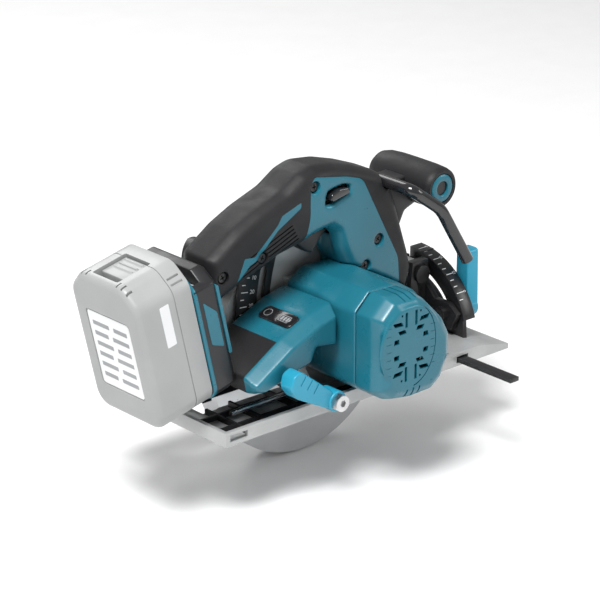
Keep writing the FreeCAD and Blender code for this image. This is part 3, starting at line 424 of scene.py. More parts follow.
finishes = {
    "teal_plastic": mouldedPlastic("tealShell", (0.011, 0.140, 0.195), (0.009, 0.122, 0.172), 0.30),
    "lever_plastic": mouldedPlastic("leverTeal", (0.020, 0.290, 0.430), (0.016, 0.258, 0.390), 0.32),
    "black_plastic": mouldedPlastic("blackShell", (0.012, 0.012, 0.014), (0.009, 0.009, 0.010), 0.40),
    "black_gloss": mouldedPlastic("blackGloss", (0.010, 0.010, 0.011), (0.014, 0.014, 0.016), 0.16,
                                  900, 0.01, 0.4),
    "battery_plastic": mouldedPlastic("packShell", (0.33, 0.335, 0.335), (0.30, 0.305, 0.305), 0.36),
    "soft_grip": softRubber("softGrip", (0.013, 0.013, 0.0145), (0.009, 0.009, 0.010)),
    "cast_alloy": castMetal("castAlloy", (0.52, 0.53, 0.53), (0.45, 0.46, 0.46), 0.36, 0.55),
    "guard_alloy": castMetal("guardAlloy", (0.60, 0.61, 0.62), (0.54, 0.55, 0.56), 0.34, 0.45, 600),
    "machined_steel": turnedSteel("machinedSteel", (0.62, 0.62, 0.63), 0.26, (1, 30, 1)),
    "spring_steel": turnedSteel("springWire", (0.42, 0.42, 0.43), 0.34, (8, 8, 8), 200),
    "blade_steel": bladeSteel("groundBlade", (0.60, 0.60, 0.61), bladeMiddle),
    "black_steel": paintedSteel("blackPaint", (0.010, 0.010, 0.011), (0.12, 0.12, 0.125), 0.34),
    "cell_wrap": mouldedPlastic("cellWrap", (0.05, 0.25, 0.20), (0.04, 0.21, 0.17), 0.25),
    "copper_winding": turnedSteel("windings", (0.52, 0.24, 0.11), 0.36, (1, 60, 1), 120),
    "brass_contact": turnedSteel("contacts", (0.70, 0.50, 0.20), 0.30, (1, 1, 20), 90),
    "board": mouldedPlastic("circuitBoard", (0.015, 0.16, 0.06), (0.01, 0.12, 0.04), 0.4),
    "clear_lens": clearPlastic("lampLens", (0.92, 0.94, 0.96)),
}
# its last colour is the shade painted into the hollow of the base
trayFinishWithShade = trayMetalWithShadedHollow("trayAlloy", (0.42, 0.425, 0.425), (0.36, 0.365, 0.365),
                       (0.014, 0.014, 0.015), baseHalf)
whitePaint = mouldedPlastic("markPaint", (0.72, 0.73, 0.74), (0.66, 0.67, 0.68), 0.5)
labelPaper = mouldedPlastic("plainLabel", (0.78, 0.79, 0.79), (0.74, 0.75, 0.75), 0.45)
labelInk = mouldedPlastic("labelLines", (0.30, 0.31, 0.32), (0.26, 0.27, 0.28), 0.5)

# every carried CAD node gets the finish of its own slot
slots = {part["node"]: part["material_slot"] for part in frame["record"]["subparts"]}
for node, thing in frame["nodes"].items():
    thing.data.materials.clear()
    thing.data.materials.append(trayFinishWithShade if node == "base_plate" else finishes[slots[node]])
print("finishes ready")


def settle(piece, body, slot, replaced=(), angle=32, finish=None):
    pick(piece)
    bpy.ops.object.transform_apply(location=True, rotation=True, scale=True)
    piece.data.materials.clear()
    piece.data.materials.append(finish or finishes[slot])
    bpy.ops.object.shade_smooth_by_angle(angle=math.radians(angle))
    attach(piece, body)
    if replaced:
        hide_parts(*replaced)
    return piece


def edgesWhere(piece, test, width, steps):
    # rounds only the edges whose two ends both pass the test, given in millimetres
    pick(piece)
    for part in (*piece.data.polygons, *piece.data.edges):
        part.select = False
    for vertex in piece.data.vertices:
        vertex.select = test(*(vertex.co / mm))
    bpy.ops.object.mode_set(mode="EDIT")
    bpy.ops.mesh.bevel(offset=width * mm, segments=steps, affect="EDGES", clamp_overlap=False)
    bpy.ops.object.mode_set(mode="OBJECT")
    return piece


def eased(node, name, width, steps=2, angle=40):
    # the node's own shape with its edges eased
    return roundRim(flatten(copyOf(node, name)), width, steps, angle)


def grown(outline, distance):
    # moves every corner away from the middle by the same step each way
    middleU = (min(u for u, v in outline) + max(u for u, v in outline)) / 2
    middleV = (min(v for u, v in outline) + max(v for u, v in outline)) / 2
    return [(u + distance * math.copysign(1, u - middleU), v + distance * math.copysign(1, v - middleV))
            for u, v in outline]


# screws, modelled once with a cross recess
screwParts = {
    "head": 4.1,
    "height": 2.6,
    "shank": 1.7,
    "handle": [(-30, 160), (33, 106), (20, 88.3), (-79.4, 118), (-116, 112)],
    "motor": [(54, 57), (-28, 32)],
    "handleLevel": -35.4,
    "motorLevel": -49.2,
    "cross": (2.0, 0.45),
    "turn": 0.7,
    "sides": 28,
}
head, height, shank = (screwParts[key] for key in ("head", "height", "shank"))
sides = screwParts["sides"]
screwShape = turned("screwShape", "y", 0, 0, [
    (0, 0), (1.6, 0), (head - 0.7, 0.25), (head - 0.15, 0.8), (head, 1.4), (head, height),
    (shank, height), (shank, 9), (0, 9),
], sides)
long, short = screwParts["cross"]
for wide, tall in ((long, short), (short, long)):
    bar = [(-wide, -tall), (wide, -tall), (wide, tall), (-wide, tall)]
    combine(screwShape, slab("cross", bar, "y", -1, 1.5), solver="EXACT")
screwTwins = []
for index, (x, z) in enumerate(screwParts["handle"] + screwParts["motor"]):
    level = screwParts["handleLevel"] if index < len(screwParts["handle"]) else screwParts["motorLevel"]
    matrix = Matrix.Translation(spot("y", x, z, level)) @ Matrix.Rotation(screwParts["turn"] * index, 4, "Y")
    screwTwins.append(twin(screwShape, "caseScrew", matrix))
caseScrews = joinAll("caseScrews", screwTwins)
bpy.data.objects.remove(screwShape)
settle(caseScrews, "saw_body", "black_steel", ("housing_screws",), 35)


# handle
# one softened body, split into the hard side shells and the soft grip so that they meet flush
handleParts = {
    "voxel": 0.9,
    "rounds": 46,
    "panel": [(-35, 138), (-39, 124), (-44, 110), (-20, 100), (-12, 60), (54, 60), (52, 88),
              (31.3, 127), (15.5, 157), (0, 162), (-32, 168), (-35, 155)],
    "corner": 4.0,
    "seam": 0.22,
    "window": [(-20, 144), (-14, 143), (4, 149), (4, 155), (-4, 156.5), (-18, 154)],
    "inlay": [(-104, 106), (-97, 122), (-88, 121), (-66, 140), (-62, 146), (-44, 152),
              (-44, 148), (-66, 136), (-86, 118), (-92, 116), (-101, 108)],
    "ribStart": (-103, 101.5),
    "ribEnd": (-47, 123),
    "ribs": 5,
    "ribPitch": 3.1,
    "ribWidth": 1.1,
    "middle": -17.5,
    "half": 20.0,
    "lever": [(-17, 147.3), (-14, 146.4), (1, 149.6), (2.2, 152), (0, 154), (-9, 154.6), (-16, 151.7)],
    "shadeLiner": 2.2,
    "trigger": [(-1.5, 124), (-3, 120), (-9, 118.5), (-15, 113.5), (-19, 107.5), (-22, 105), (-27, 107),
                (-33, 112), (-37, 116), (-37, 126), (-20, 131), (-4, 131)],
    "triggerInset": 13.2,
}
handleBody = joinAll("handleBody", [copyOf(node, "handlePart") for node in
                                   ("handle_right", "handle_left", "handle_overmould", "grip_inlays")])
soften(handleBody, handleParts["voxel"], handleParts["rounds"])
near = handleParts["middle"] - handleParts["half"]
far = handleParts["middle"] + handleParts["half"]
windowTool = slab("windowTool", handleParts["window"], "y", near - 3, far + 3, 1.6, steps=4)
combine(handleBody, windowTool)
for x, z in screwParts["handle"]:
    recess = [(0, near - 4), (head + 1.6, near - 4), (head + 0.7, near + 1.2),
              (head + 0.5, near + 4.8), (0, near + 4.8)]
    combine(handleBody, turned("recess", "y", x, z, recess, sides))

panelTool = slab("panelTool", handleParts["panel"], "y", near - 3, far + 3, handleParts["corner"], steps=5)
gripTool = twin(panelTool, "gripTool")
finishWith(gripTool, "DISPLACE", strength=handleParts["seam"] * mm, mid_level=0)
handlePanel = twin(handleBody, "handlePanel")
combine(handlePanel, panelTool, "INTERSECT")
inlayTool = joinAll("inlayTool", [slab("inlayTool", handleParts["inlay"], "y", low, high, 1.0)
                                  for low, high in ((near - 2, near + 6), (far - 6, far + 2))])
handleGrip = twin(handleBody, "handleGrip")
combine(handleGrip, gripTool)
gripInlays = twin(handleGrip, "gripInlays")
combine(gripInlays, inlayTool, "INTERSECT", keep=True)
combine(handleGrip, inlayTool)

# ribs pressed into the lower side of the grip, in line with its edge
start, end = Vector(handleParts["ribStart"]), Vector(handleParts["ribEnd"])
along = (end - start).normalized()
across = Vector((-along.y, along.x))
grooves = []
for rib in range(handleParts["ribs"]):
    shift = across * (2.2 + rib * handleParts["ribPitch"])
    a, b = start + shift + along * (4 + 2.6 * rib), end + shift + along * (1.5 - 0.4 * rib)
    half = across * handleParts["ribWidth"] / 2
    outline = [tuple(a - half), tuple(b - half), tuple(b + half), tuple(a + half)]
    for low, high in ((near - 2, near + 1.5), (far - 1.5, far + 2)):
        grooves.append(slab("groove", outline, "y", low, high))
combine(handleGrip, joinAll("grooves", grooves))
bpy.data.objects.remove(handleBody)
settle(handlePanel, "saw_body", "teal_plastic", ("handle_left", "handle_right"), 40)
settle(handleGrip, "saw_body", "soft_grip", ("handle_overmould",), 40)
settle(gripInlays, "saw_body", "teal_plastic", ("grip_inlays",), 40)

# the lock-off lever has a black liner inside each window, a dark sheet that stands in for the shade in the
# opening
lockLever = slab("lockLever", handleParts["lever"], "y", near - 2, far + 2, 1.2)
roundRim(lockLever, 1.1, 3)
for low in (near + 6.5, far - 8.0):
    # a black sheet in the window, put there as painted shade
    shadeLiner = grown(handleParts["window"], handleParts["shadeLiner"])
    combine(lockLever, slab("shadeLiner", shadeLiner, "y", low, low + 1.5, 2.0), "UNION")
settle(lockLever, "lock_off_lever", "black_gloss", ("lock_off_lever",))
inset = handleParts["triggerInset"]
triggerPad = slab("triggerPad", handleParts["trigger"], "y", near + inset, far - inset, 1.5, steps=4)
roundRim(triggerPad, 1.6, 4)
settle(triggerPad, "trigger", "black_plastic", ("trigger",))
print("handle done")

# motor
motorParts = {
    "axis": (-8.0, 56.0),
    "end": -115.0,
    "voxel": 1.0,
    "rounds": 34,
    "vents": [
        [(3.6, 15), (6.0, 15), (6.0, 26.5), (3.6, 26.5)],
        [(8.2, 24), (9.9, 24), (9.9, 25.7), (8.2, 25.7)],
        [(7.6, 17), (16.2, 17.5), (18, 20.8), (9.5, 20.4)],
        [(4.6, 10.8), (11.2, 10.6), (13, 13.8), (6, 14)],
        [(11.6, 4.2), (17, 4.2), (16.4, 8), (12, 8)],
    ],
    "ring": (24.5, 32.0),
    "ringWidth": 0.7,
    "flutes": (-3.0, 3.0, 9.0),
    "fluteHalf": 0.75,
    "fluteDepth": 0.9,
    "lines": 7,
    "linePitch": 6.0,
    "lineHalf": 0.2,
    "lineSpans": ((-24, -19.5), (19.0, 23.4)),
}
motorX, motorZ = motorParts["axis"]
motorBody = copyOf("motor_housing", "motorBody")
soften(motorBody, motorParts["voxel"], motorParts["rounds"])
for x, z in screwParts["motor"]:
    recess = [(0, -84), (head + 1.4, -84), (head + 0.6, -50), (head + 0.6, -46.2), (0, -46.2)]
    combine(motorBody, turned("recess", "y", x, z, recess, sides))
settle(motorBody, "saw_body", "teal_plastic", ("motor_housing",), 40)

motorCap = copyOf("motor_end_cap", "motorCap")
end = motorParts["end"]
combine(motorCap, rod("plug", "y", motorX, motorZ, 30, end + 0.1, end + 2.4), "UNION")
soften(motorCap, 0.8, 26)
capTools = []
for sideways in (-1, 1):
    for up in (-1, 1):
        for outline in motorParts["vents"]:
            places = [(motorX + sideways * u, motorZ + up * v) for u, v in outline]
            capTools.append(slab("vent", places, "y", end - 2, end + 5.5, 0.35))
combine(motorCap, joinAll("vents", capTools))
# a parting line round the vents, three flutes over the rim above and below, and fine ruled lines
ringWide, ringTall = motorParts["ring"]
ringInside = ringWide - motorParts["ringWidth"]
seam = turned("seam", "y", 0, 0, [
    (ringInside, end - 3), (ringWide, end - 3), (ringWide, end + 1.3), (ringInside, end + 1.3)], 72)
stretch = Matrix.Diagonal((1, 1, ringTall / ringWide, 1))
seam.data.transform(Matrix.Translation(spot("y", motorX, motorZ, 0)) @ stretch)
combine(seam, box("half", motorX - 40, motorX + 3, end - 5, end + 5, motorZ - 40, motorZ + 40))
combine(motorCap, seam)
flutes = []
for offset in motorParts["flutes"]:
    x0, x1 = (motorX + offset + side * motorParts["fluteHalf"] for side in (-1, 1))
    for z0, z1 in ((motorZ - 60, motorZ - 33), (motorZ + 33, motorZ + 60)):
        flutes.append(slab("flute", [(x0, z0), (x1, z0), (x1, z1), (x0, z1)], "y", end - 3, -87))
flutes = joinAll("flutes", flutes)
core = finishWith(twin(motorCap, "core"), "DISPLACE", strength=-motorParts["fluteDepth"] * mm, mid_level=0)
combine(flutes, core)
combine(motorCap, flutes)
lines = []
lineHalf = motorParts["lineHalf"]
for line in range(motorParts["lines"]):
    z = motorZ - 18 + motorParts["linePitch"] * line
    for low, high in motorParts["lineSpans"]:
        x0, x1, z0, z1 = motorX + low, motorX + high, z - lineHalf, z + lineHalf
        lines.append(slab("line", [(x0, z0), (x1, z0), (x1, z1), (x0, z1)], "y", end - 2, end + 0.45))
combine(motorCap, joinAll("lines", lines))
settle(motorCap, "saw_body", "teal_plastic", ("motor_end_cap",), 40)
capBoss = turned("capBoss", "y", motorX, motorZ, [
    (0, end + 0.05), (2.4, end + 0.1), (3.1, end + 0.45), (3.3, end + 1.2), (0, end + 1.2)], 32)
settle(capBoss, "saw_body", "teal_plastic", angle=50)
print("motor done")

# controller housing
controllerBody = copyOf("controller_housing", "controllerBody")
soften(controllerBody, 0.85, 16)
padTool = box("padTool", -130, -87, -59.5, 0, 20, 90)
controllerPad = twin(controllerBody, "controllerPad")
combine(controllerPad, padTool, "INTERSECT", keep=True)
combine(controllerBody, padTool)
settle(controllerBody, "saw_body", "teal_plastic", ("controller_housing",), 40)
settle(controllerPad, "saw_body", "soft_grip", angle=40)

displayParts = {
    "slope": math.atan2(11.5, 27.0),
    "place": (-68, -40, 71.8),
    "button": 11.0,
    "half": (17.5, 6.6),
}


def onDisplay(piece):
    turn = Matrix.Rotation(-displayParts["slope"], 4, "Y") @ Matrix.Rotation(math.pi / 2, 4, "Z")
    piece.data.transform(Matrix.Translation(Vector(displayParts["place"]) * mm) @ turn)
    return piece


wide, tall = displayParts["half"]
at = displayParts["button"]
panelView = [(-wide, -tall), (wide, -tall), (wide, tall), (-wide, tall)]
displayPlate = slab("displayPlate", panelView, "z", -1.6, 0.7, 4.0, 0.6, 5)
combine(displayPlate, rod("hole", "z", at, 0, 2.75, -3, 3, 32))
settle(onDisplay(displayPlate), "saw_body", "black_gloss", ("display_panel",))
displayButton = turned("displayButton", "z", at, 0, [
    (0, -1.1), (2.5, -1.1), (2.5, 0.8), (2.2, 1.1), (1.2, 0.95), (0, 0.9)], 32)
settle(onDisplay(displayButton), "display_button", "black_gloss", ("display_button",))
# plain charge symbols: a ring round the button and a cell outline with three bars
iconRing = turned("iconRing", "z", at, 0, [(3.1, 0.6), (3.55, 0.6), (3.55, 0.78), (3.1, 0.78)], 40)
iconCell = box("iconCell", -12, -2, -3.2, 3.2, 0.6, 0.78)
combine(iconCell, box("inner", -11.5, -2.5, -2.7, 2.7, 0, 2))
iconBars = [box("bar", -11 + 2.8 * i, -9 + 2.8 * i, -2, 2, 0.6, 0.76) for i in range(3)]
iconTip = box("tip", -13, -12, -1.2, 1.2, 0.6, 0.78)
displayMarks = joinAll("displayMarks", [iconRing, iconCell, iconTip, *iconBars])
settle(onDisplay(displayMarks), "saw_body", "black_gloss", finish=labelInk)
print("controller done")

# battery
packParts = {
    "tilt": 13.0,
    "foot": (-139.4, -17.5, 30.0),
    "half": 37.5,
    "depth": 48.0,
    "height": 112.0,
    "belt": 15.0,
    "beltWidth": 0.9,
    "beltDepth": 0.55,
    "corner": 5.0,
    "notches": (-22, -17, 17, 22, 27),
    "noteRows": 6,
    "noteStart": 30,
    "notePitch": 8.4,
    "noteHeight": 3.4,
    "labelHalf": 23,
}


def onRails(piece):
    turn = Matrix.Rotation(-math.radians(packParts["tilt"]), 4, "Y") @ Matrix.Rotation(math.pi, 4, "Z")
    piece.data.transform(Matrix.Translation(Vector(packParts["foot"]) * mm) @ turn)
    return piece


half, depth, height = packParts["half"], packParts["depth"], packParts["height"]
packOutline = [(-half, 8), (-half + 8, 0), (half - 8, 0), (half, 8), (half, height - 14),
               (half - 14, height), (-half + 14, height), (-half, height - 14)]
corner = packParts["corner"]
packCase = slab("packCase", packOutline, "x", 0.2, depth, corner, steps=6)
edgesWhere(packCase, lambda x, y, z: x > depth - 0.1, corner, 6)
edgesWhere(packCase, lambda x, y, z: x < 0.3, 0.8, 2)
# a fine parting line, the button's recess, a label pocket and the grip notches behind the top
low, high = packParts["belt"], packParts["belt"] + packParts["beltWidth"]
belt = slab("belt", grown(packOutline, 3), "x", low, high, corner, steps=6)
combine(belt, slab("inner", grown(packOutline, -packParts["beltDepth"]), "x", 10, 20, 4.9, steps=6))
combine(packCase, belt)
combine(packCase, box("recess", 12, depth - 6, -14, 14, height - 9, height + 2, 1.5))
pocketView = [(-24, 22), (24, 22), (24, 84), (-24, 84)]
combine(packCase, slab("pocket", pocketView, "x", depth - 0.7, depth + 2, 3, steps=4))
notches = [box("notch", depth - 7.5, depth - 2.2, y - 0.7, y + 0.7, height - 7, height + 2)
           for y in packParts["notches"]]
combine(packCase, joinAll("notches", notches))
sideFlutes = []
for offset in (0, 3.2):
    for side in (-1, 1):
        y = side * (half - 3.2 - offset * 1.1)
        sideFlutes.append(box("flute", 3.5, 13.5, y - 0.6, y + 0.6, height - 12 + offset, height + 3))
combine(packCase, joinAll("sideFlutes", sideFlutes))
rails = [box("rail", -5, 1, -26.5, 26.5, 6, 88), box("rail", -10, -5, -32.5, 32.5, 6, 88, rim=0.5)]
for rail in rails:
    combine(packCase, rail, "UNION")
settle(onRails(packCase), "battery_unit", "battery_plastic", ("battery_case",), 40)
side = packParts["labelHalf"]
labelView = [(-side, 23), (side, 23), (side, 83), (-side, 83)]
packLabel = slab("packLabel", labelView, "x", depth - 0.75, depth - 0.4, 2.4, steps=4)
settle(onRails(packLabel), "battery_unit", "battery_plastic", finish=labelPaper)
inkRows = []
for row in range(packParts["noteRows"]):
    z0 = packParts["noteStart"] + packParts["notePitch"] * row
    z1 = z0 + packParts["noteHeight"]
    for y0, y1 in ((-19, -4 + 3 * (row % 2)), (1 + 3 * (row % 2), 19)):
        view = [(y0, z0), (y1, z0), (y1, z1), (y0, z1)]
        inkRows.append(slab("row", view, "x", depth - 0.42, depth - 0.33, 0.5))
settle(onRails(joinAll("labelRows", inkRows)), "battery_unit", "battery_plastic", finish=labelInk)
sideStripe = slab("sideStripe", [(21, 60), (29, 60), (29, 92), (21, 92)], "y", half - 0.1, half + 0.06, 0.8)
settle(onRails(sideStripe), "battery_unit", "battery_plastic", finish=whitePaint)
packButton = eased("battery_button", "packButton", 0.6, 2)
settle(packButton, "battery_button", "battery_plastic", ("battery_button",))

mountFrame = eased("battery_mount", "mountFrame", 1.2, 3)
settle(mountFrame, "saw_body", "black_plastic", ("battery_mount",))
rimOutline = packOutline[:4] + [(half, 88), (half - 12, 99), (-half + 12, 99), (-half, 88)]
mountRim = slab("mountRim", grown(rimOutline, 0.6), "x", -3.6, -0.5, 4.5, steps=5)
combine(mountRim, slab("inner", grown(rimOutline, -2.4), "x", -6, 2, 3.5, steps=5))
combine(mountRim, box("gap", -6, 2, -27, 27, 5.6, 120))
roundRim(mountRim, 0.5, 2)
settle(onRails(mountRim), "saw_body", "teal_plastic")
insetView = [(-7, 44), (-17, 38), (-17, 66), (-7, 78)]
mountInset = slab("mountInset", insetView, "y", half - 0.6, half + 0.5, 1.5, 0.4)
settle(onRails(mountInset), "saw_body", "teal_plastic")
stripView = [(-20.5, 30), (-23, 30), (-23, 84), (-20.5, 86)]
mountStrip = slab("mountStrip", stripView, "y", half - 3.2, half - 0.2, 0.8, 0.4)
settle(onRails(mountStrip), "saw_body", "teal_plastic")
print("battery done")

# front grip and hook
gripParts = {"x": 83.0, "z": 138.0, "right": -52.0, "left": 17.0, "radius": 16.5}
gx, gz, right, left, radius = (gripParts[key] for key in ("x", "z", "right", "left", "radius"))
frontGrip = turned("frontGrip", "y", gx, gz, [
    (10.8, right + 1.6), (11.4, right + 0.5), (13.2, right + 0.2), (14.9, right + 1.8),
    (15.7, right + 5), (radius - 0.2, right + 14), (radius, (right + left) / 2),
    (radius - 0.1, left - 20), (radius - 0.8, left - 10), (radius - 2.4, left - 4),
    (radius - 5, left - 1.2), (10.8, left - 0.3), (10.8, left - 2.2), (6, left - 2.2),
    (6, left - 12), (0, left - 12), (0, right + 12), (6, right + 12), (6, right + 1.6)], 72)
settle(frontGrip, "saw_body", "soft_grip", ("front_grip",), 40)
capRings = []
for face, sign in ((right, 1), (left, -1)):
    capRings.append(turned("gripCap", "y", gx, gz, [
        (5.6, face + sign * 2.2), (5.6, face + sign * 0.5), (6.0, face + sign * 0.15), (7.8, face + sign * 0.1),
        (9.8, face + sign * 0.35), (10.6, face + sign * 1.0), (10.6, face + sign * 2.2)], 56))
gripCaps = joinAll("gripCaps", capRings)
settle(gripCaps, "saw_body", "teal_plastic", ("grip_end_caps",), 40)
frontNeck = copyOf("front_neck", "frontNeck")
soften(frontNeck, 1.0, 10)
settle(frontNeck, "saw_body", "black_plastic", ("front_neck",), 40)

hookParts = {
    "radius": 4.7,
    "corners": [(42, -28, 148), (42, -62, 148), (68, -65, 129), (94, -68, 84)],
    "reach": 13.0,
}
corners = [Vector(corner) for corner in hookParts["corners"]]
hookLine = [corners[0]]
for before, corner, after in zip(corners, corners[1:], corners[2:]):
    back, ahead = (before - corner).normalized(), (after - corner).normalized()
    hookLine += [corner + back * hookParts["reach"], corner, corner + ahead * hookParts["reach"]]
hookLine.append(corners[-1])
bpy.ops.curve.primitive_nurbs_path_add(location=(0, 0, 0))
hookBar = bpy.context.object
hookBar.name = "hookBar"
path = hookBar.data.splines[0]
path.points.add(len(hookLine) - len(path.points))
for point, place in zip(path.points, hookLine):
    point.co = (*(place * mm), 1)
path.use_endpoint_u = True
path.order_u = 3
hookBar.data.resolution_u = 10
hookBar.data.bevel_depth = hookParts["radius"] * mm
hookBar.data.bevel_resolution = 8
hookBar.data.use_fill_caps = True
pick(hookBar)
bpy.ops.object.convert(target="MESH")
roundRim(hookBar, 1.2, 3)
settle(hookBar, "hook", "black_steel", ("hook",), finish=finishes["black_gloss"])
print("grip and hook done")

# depth lever
leverParts = {
    "x": -55.3,
    "z": 18.1,
    "grooves": 3,
    "bore": 3.1,
    "boltY": -30.9,
    "boltZ": 26.6,
    "face": 138.0,
}
bore = leverParts["bore"]
lx, lz = leverParts["x"], leverParts["z"]
paddleView = [(lx - 3, lz + 8), (lx - 34, lz + 32), (lx - 41, lz + 29), (lx - 43.5, lz + 20),
              (lx - 38, lz + 12), (lx - 8, lz - 4)]
depthLever = slab("depthLever", paddleView, "y", -89, -76, 2.4, 1.2, 4)
combine(depthLever, turned("hub", "y", lx, lz, [
    (0, -90), (7.4, -90), (8, -89.2), (8, -75), (0, -75)], 40), "UNION")
combine(depthLever, rod("bore", "y", lx, lz, bore, -94, -70, 24))
leverGrooves = []
for step in range(leverParts["grooves"]):
    at = Vector((lx - 20 - 6 * step, lz + 15.5 + 4.6 * step))
    lean = Vector((0.61, 0.79)) * 4.4
    width = Vector((0.79, -0.61)) * 0.5
    view = [at - lean - width, at - lean + width, at + lean + width, at + lean - width]
    leverGrooves.append(slab("groove", [tuple(spotted) for spotted in view], "y", -91, -88.5))
combine(depthLever, joinAll("grooves", leverGrooves))
settle(depthLever, "depth_lever", "lever_plastic", ("depth_lever",), 35)
hexNut = slab("hexNut", hexagon(lx, lz, 6.9, 30), "y", -95, -89.6)
dishView = [(6.0, -96), (9, -96), (9, -93.6), (7.0, -93.9), (6.0, -94.8)]
combine(hexNut, turned("dish", "y", lx, lz, dishView, 48))
combine(hexNut, slab("socket", hexagon(lx, lz, 2.9), "y", -97, -91.5))
settle(hexNut, "depth_lever", "machined_steel", angle=25)

# bevel quadrant, its scale and lever
scaleParts = {
    "centre": (12.5, 5.0),
    "radius": 64.0,
    "from": 98,
    "step": 5,
    "ticks": 11,
    "half": 0.32,
    "low": 113.5,
    "figures": 121.7,
    "size": 3.4,
}
quadrant = eased("bevel_quadrant", "quadrant", 0.5)
settle(quadrant, "base_unit", "black_steel", ("bevel_quadrant",))
cy, cz = scaleParts["centre"]
ticks = []
tickHalf = scaleParts["half"]
hub = Matrix.Translation(Vector((0, cy, cz)) * mm)
for step in range(scaleParts["ticks"]):
    turn = Matrix.Rotation(math.radians(scaleParts["from"] + scaleParts["step"] * step - 90), 4, "X")
    length = 8.0 if step == 0 else 7.0 if step % 3 == 0 else 3.6
    outer = scaleParts["radius"] + 0.12
    view = [(-tickHalf, outer - 0.5), (tickHalf, outer - 0.5), (tickHalf, outer), (-tickHalf, outer)]
    tick = slab("tick", view, "x", scaleParts["low"], scaleParts["low"] + length)
    tick.data.transform(hub @ turn)
    ticks.append(tick)
for step in range(0, scaleParts["ticks"], 3):
    turn = Matrix.Rotation(math.radians(scaleParts["from"] + scaleParts["step"] * step - 90), 4, "X")
    figure = digits(str(45 - 15 * (step // 3)), scaleParts["size"])
    place = Matrix.Translation(Vector((scaleParts["figures"], 0, scaleParts["radius"])) * mm)
    figure.data.transform(hub @ turn @ place @ Matrix.Rotation(math.pi / 2, 4, "Z"))
    ticks.append(figure)
scaleTicks = joinAll("scaleTicks", ticks)
settle(scaleTicks, "base_unit", "black_steel", finish=whitePaint)
boltY, boltZ, leverFace = (leverParts[key] for key in ("boltY", "boltZ", "face"))
bevelView = [(boltY - 7, boltZ - 2), (boltY + 7, boltZ - 2),
             (boltY + 6.5, boltZ + 48), (boltY - 6, boltZ + 48)]
bevelLever = slab("bevelLever", bevelView, "x", leverFace - 12, leverFace, 2.8, 1.5, 4)
combine(bevelLever, turned("hub", "x", boltY, boltZ, [
    (0, leverFace - 12.5), (8, leverFace - 12.5), (8, leverFace - 1.2), (7, leverFace - 0.3),
    (0, leverFace - 0.3)], 40), "UNION")
combine(bevelLever, rod("bore", "x", boltY, boltZ, bore, leverFace - 20, leverFace + 5, 24))
for step in range(leverParts["grooves"]):
    combine(bevelLever, box("groove", leverFace - 0.5, leverFace + 1, boltY - 4.5, boltY + 4.5,
                            boltZ + 22 + 8 * step, boltZ + 23.2 + 8 * step))
settle(bevelLever, "bevel_lever", "lever_plastic", ("bevel_lever",))

# depth guide and its scale
guideParts = {
    "pivot": (100.0, 56.0),
    "outer": 178.9,
    "face": -9.0,
    "from": 164.0,
    "step": 1.8,
    "ticks": 12,
    "half": 0.35,
    "figures": 168.4,
    "size": 4.4,
}
depthGuide = eased("depth_guide", "depthGuide", 0.3)
settle(depthGuide, "tilt_frame", "black_steel", ("depth_guide",))
px, pz = guideParts["pivot"]
marks = []
face, outer, tickHalf = (guideParts[key] for key in ("face", "outer", "half"))
for step in range(guideParts["ticks"]):
    angle = math.radians(guideParts["from"] + guideParts["step"] * step)
    length = 3.4 if step % 2 else 6.4
    lean = Matrix.Translation(Vector((px, 0, pz)) * mm) @ Matrix.Rotation(-angle, 4, "Y")
    tick = box("tick", outer - length, outer, face - 0.12, face + 0.2, -tickHalf, tickHalf)
    tick.data.transform(lean)
    marks.append(tick)
    if step % 2 == 0:
        figure = digits(str(5 * step), guideParts["size"])
        upright = Matrix.Rotation(math.pi, 4, "Y") @ Matrix.Rotation(math.pi / 2, 4, "X")
        place = Matrix.Translation(Vector((guideParts["figures"], face, 0)) * mm)
        figure.data.transform(lean @ place @ upright)
        marks.append(figure)
settle(joinAll("guideMarks", marks), "tilt_frame", "black_steel", finish=whitePaint)
frontBracket = eased("front_bracket", "frontBracket", 0.7)
settle(frontBracket, "tilt_frame", "black_steel", ("front_bracket",))
print("adjusters done")

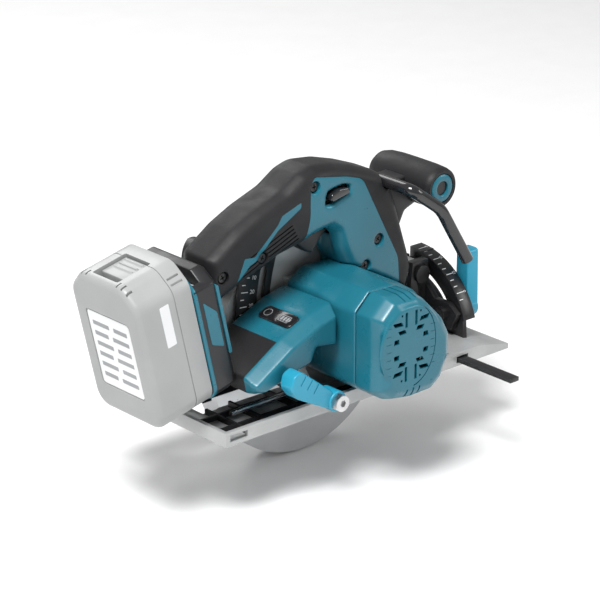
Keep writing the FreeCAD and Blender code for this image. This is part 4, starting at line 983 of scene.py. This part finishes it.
# base and guards
basePlate = eased("base_plate", "basePlate", 0.7)
settle(basePlate, "base_unit", "cast_alloy", ("base_plate",), finish=trayFinishWithShade)
upperGuard = eased("upper_guard", "upperGuard", 1.0, 3)
settle(upperGuard, "saw_body", "cast_alloy", ("upper_guard",))
lowerGuard = eased("lower_guard", "lowerGuard", 0.4)
settle(lowerGuard, "guard_unit", "guard_alloy", ("lower_guard",))
fenceBar = eased("rip_fence", "fenceBar", 0.5)
settle(fenceBar, "rip_fence", "black_steel", ("rip_fence",))
print("base done")

# floor, light, camera
studio = {
    "floor": 14.0,
    "gap": 0.001,
    "cameraFrom": (-1.22708, -1.37240, 0.76068),
    "azimuth": 41.518,
    "elevation": 20.945,
    "lens": 158.83,
    "sky": 0.38,
}
bpy.ops.mesh.primitive_plane_add(size=studio["floor"], location=(0, 0, cadBox[0][2] - studio["gap"]))
floor = bpy.context.object
floor.name = "floor"
paper = mouldedPlastic("studioFloor", (0.88, 0.88, 0.88), (0.86, 0.86, 0.86), 0.7, 40, 0.01)
floor.data.materials.append(paper)

world = bpy.data.worlds.new("studioSky")
bpy.context.scene.world = world
world.use_nodes = True
world.node_tree.nodes["Background"].inputs["Color"].default_value = (1, 1, 1, 1)
world.node_tree.nodes["Background"].inputs["Strength"].default_value = studio["sky"]


def areaLight(name, place, aim, size, power):
    bpy.ops.object.light_add(type="AREA", location=place)
    lamp = bpy.context.object
    lamp.name = name
    lamp.data.size = size
    lamp.data.energy = power
    lamp.rotation_euler = (Vector(aim) - Vector(place)).to_track_quat("-Z", "Y").to_euler()
    return lamp


areaLight("keyLight", (-0.9, -0.5, 1.7), (0, 0, 0.08), 0.7, 52)
areaLight("sideLight", (1.4, -1.3, 0.9), (0, 0, 0.08), 0.7, 9)
areaLight("backLight", (0.4, 1.6, 1.3), (0, 0, 0.1), 1.0, 12)

bpy.ops.object.camera_add(location=studio["cameraFrom"])
camera = bpy.context.object
camera.rotation_euler = (math.radians(90 - studio["elevation"]), 0, -math.radians(studio["azimuth"]))
camera.data.lens = studio["lens"]
camera.data.sensor_width = 36
camera.data.clip_end = 60
bpy.context.scene.camera = camera
bpy.context.scene.view_settings.view_transform = "Standard"
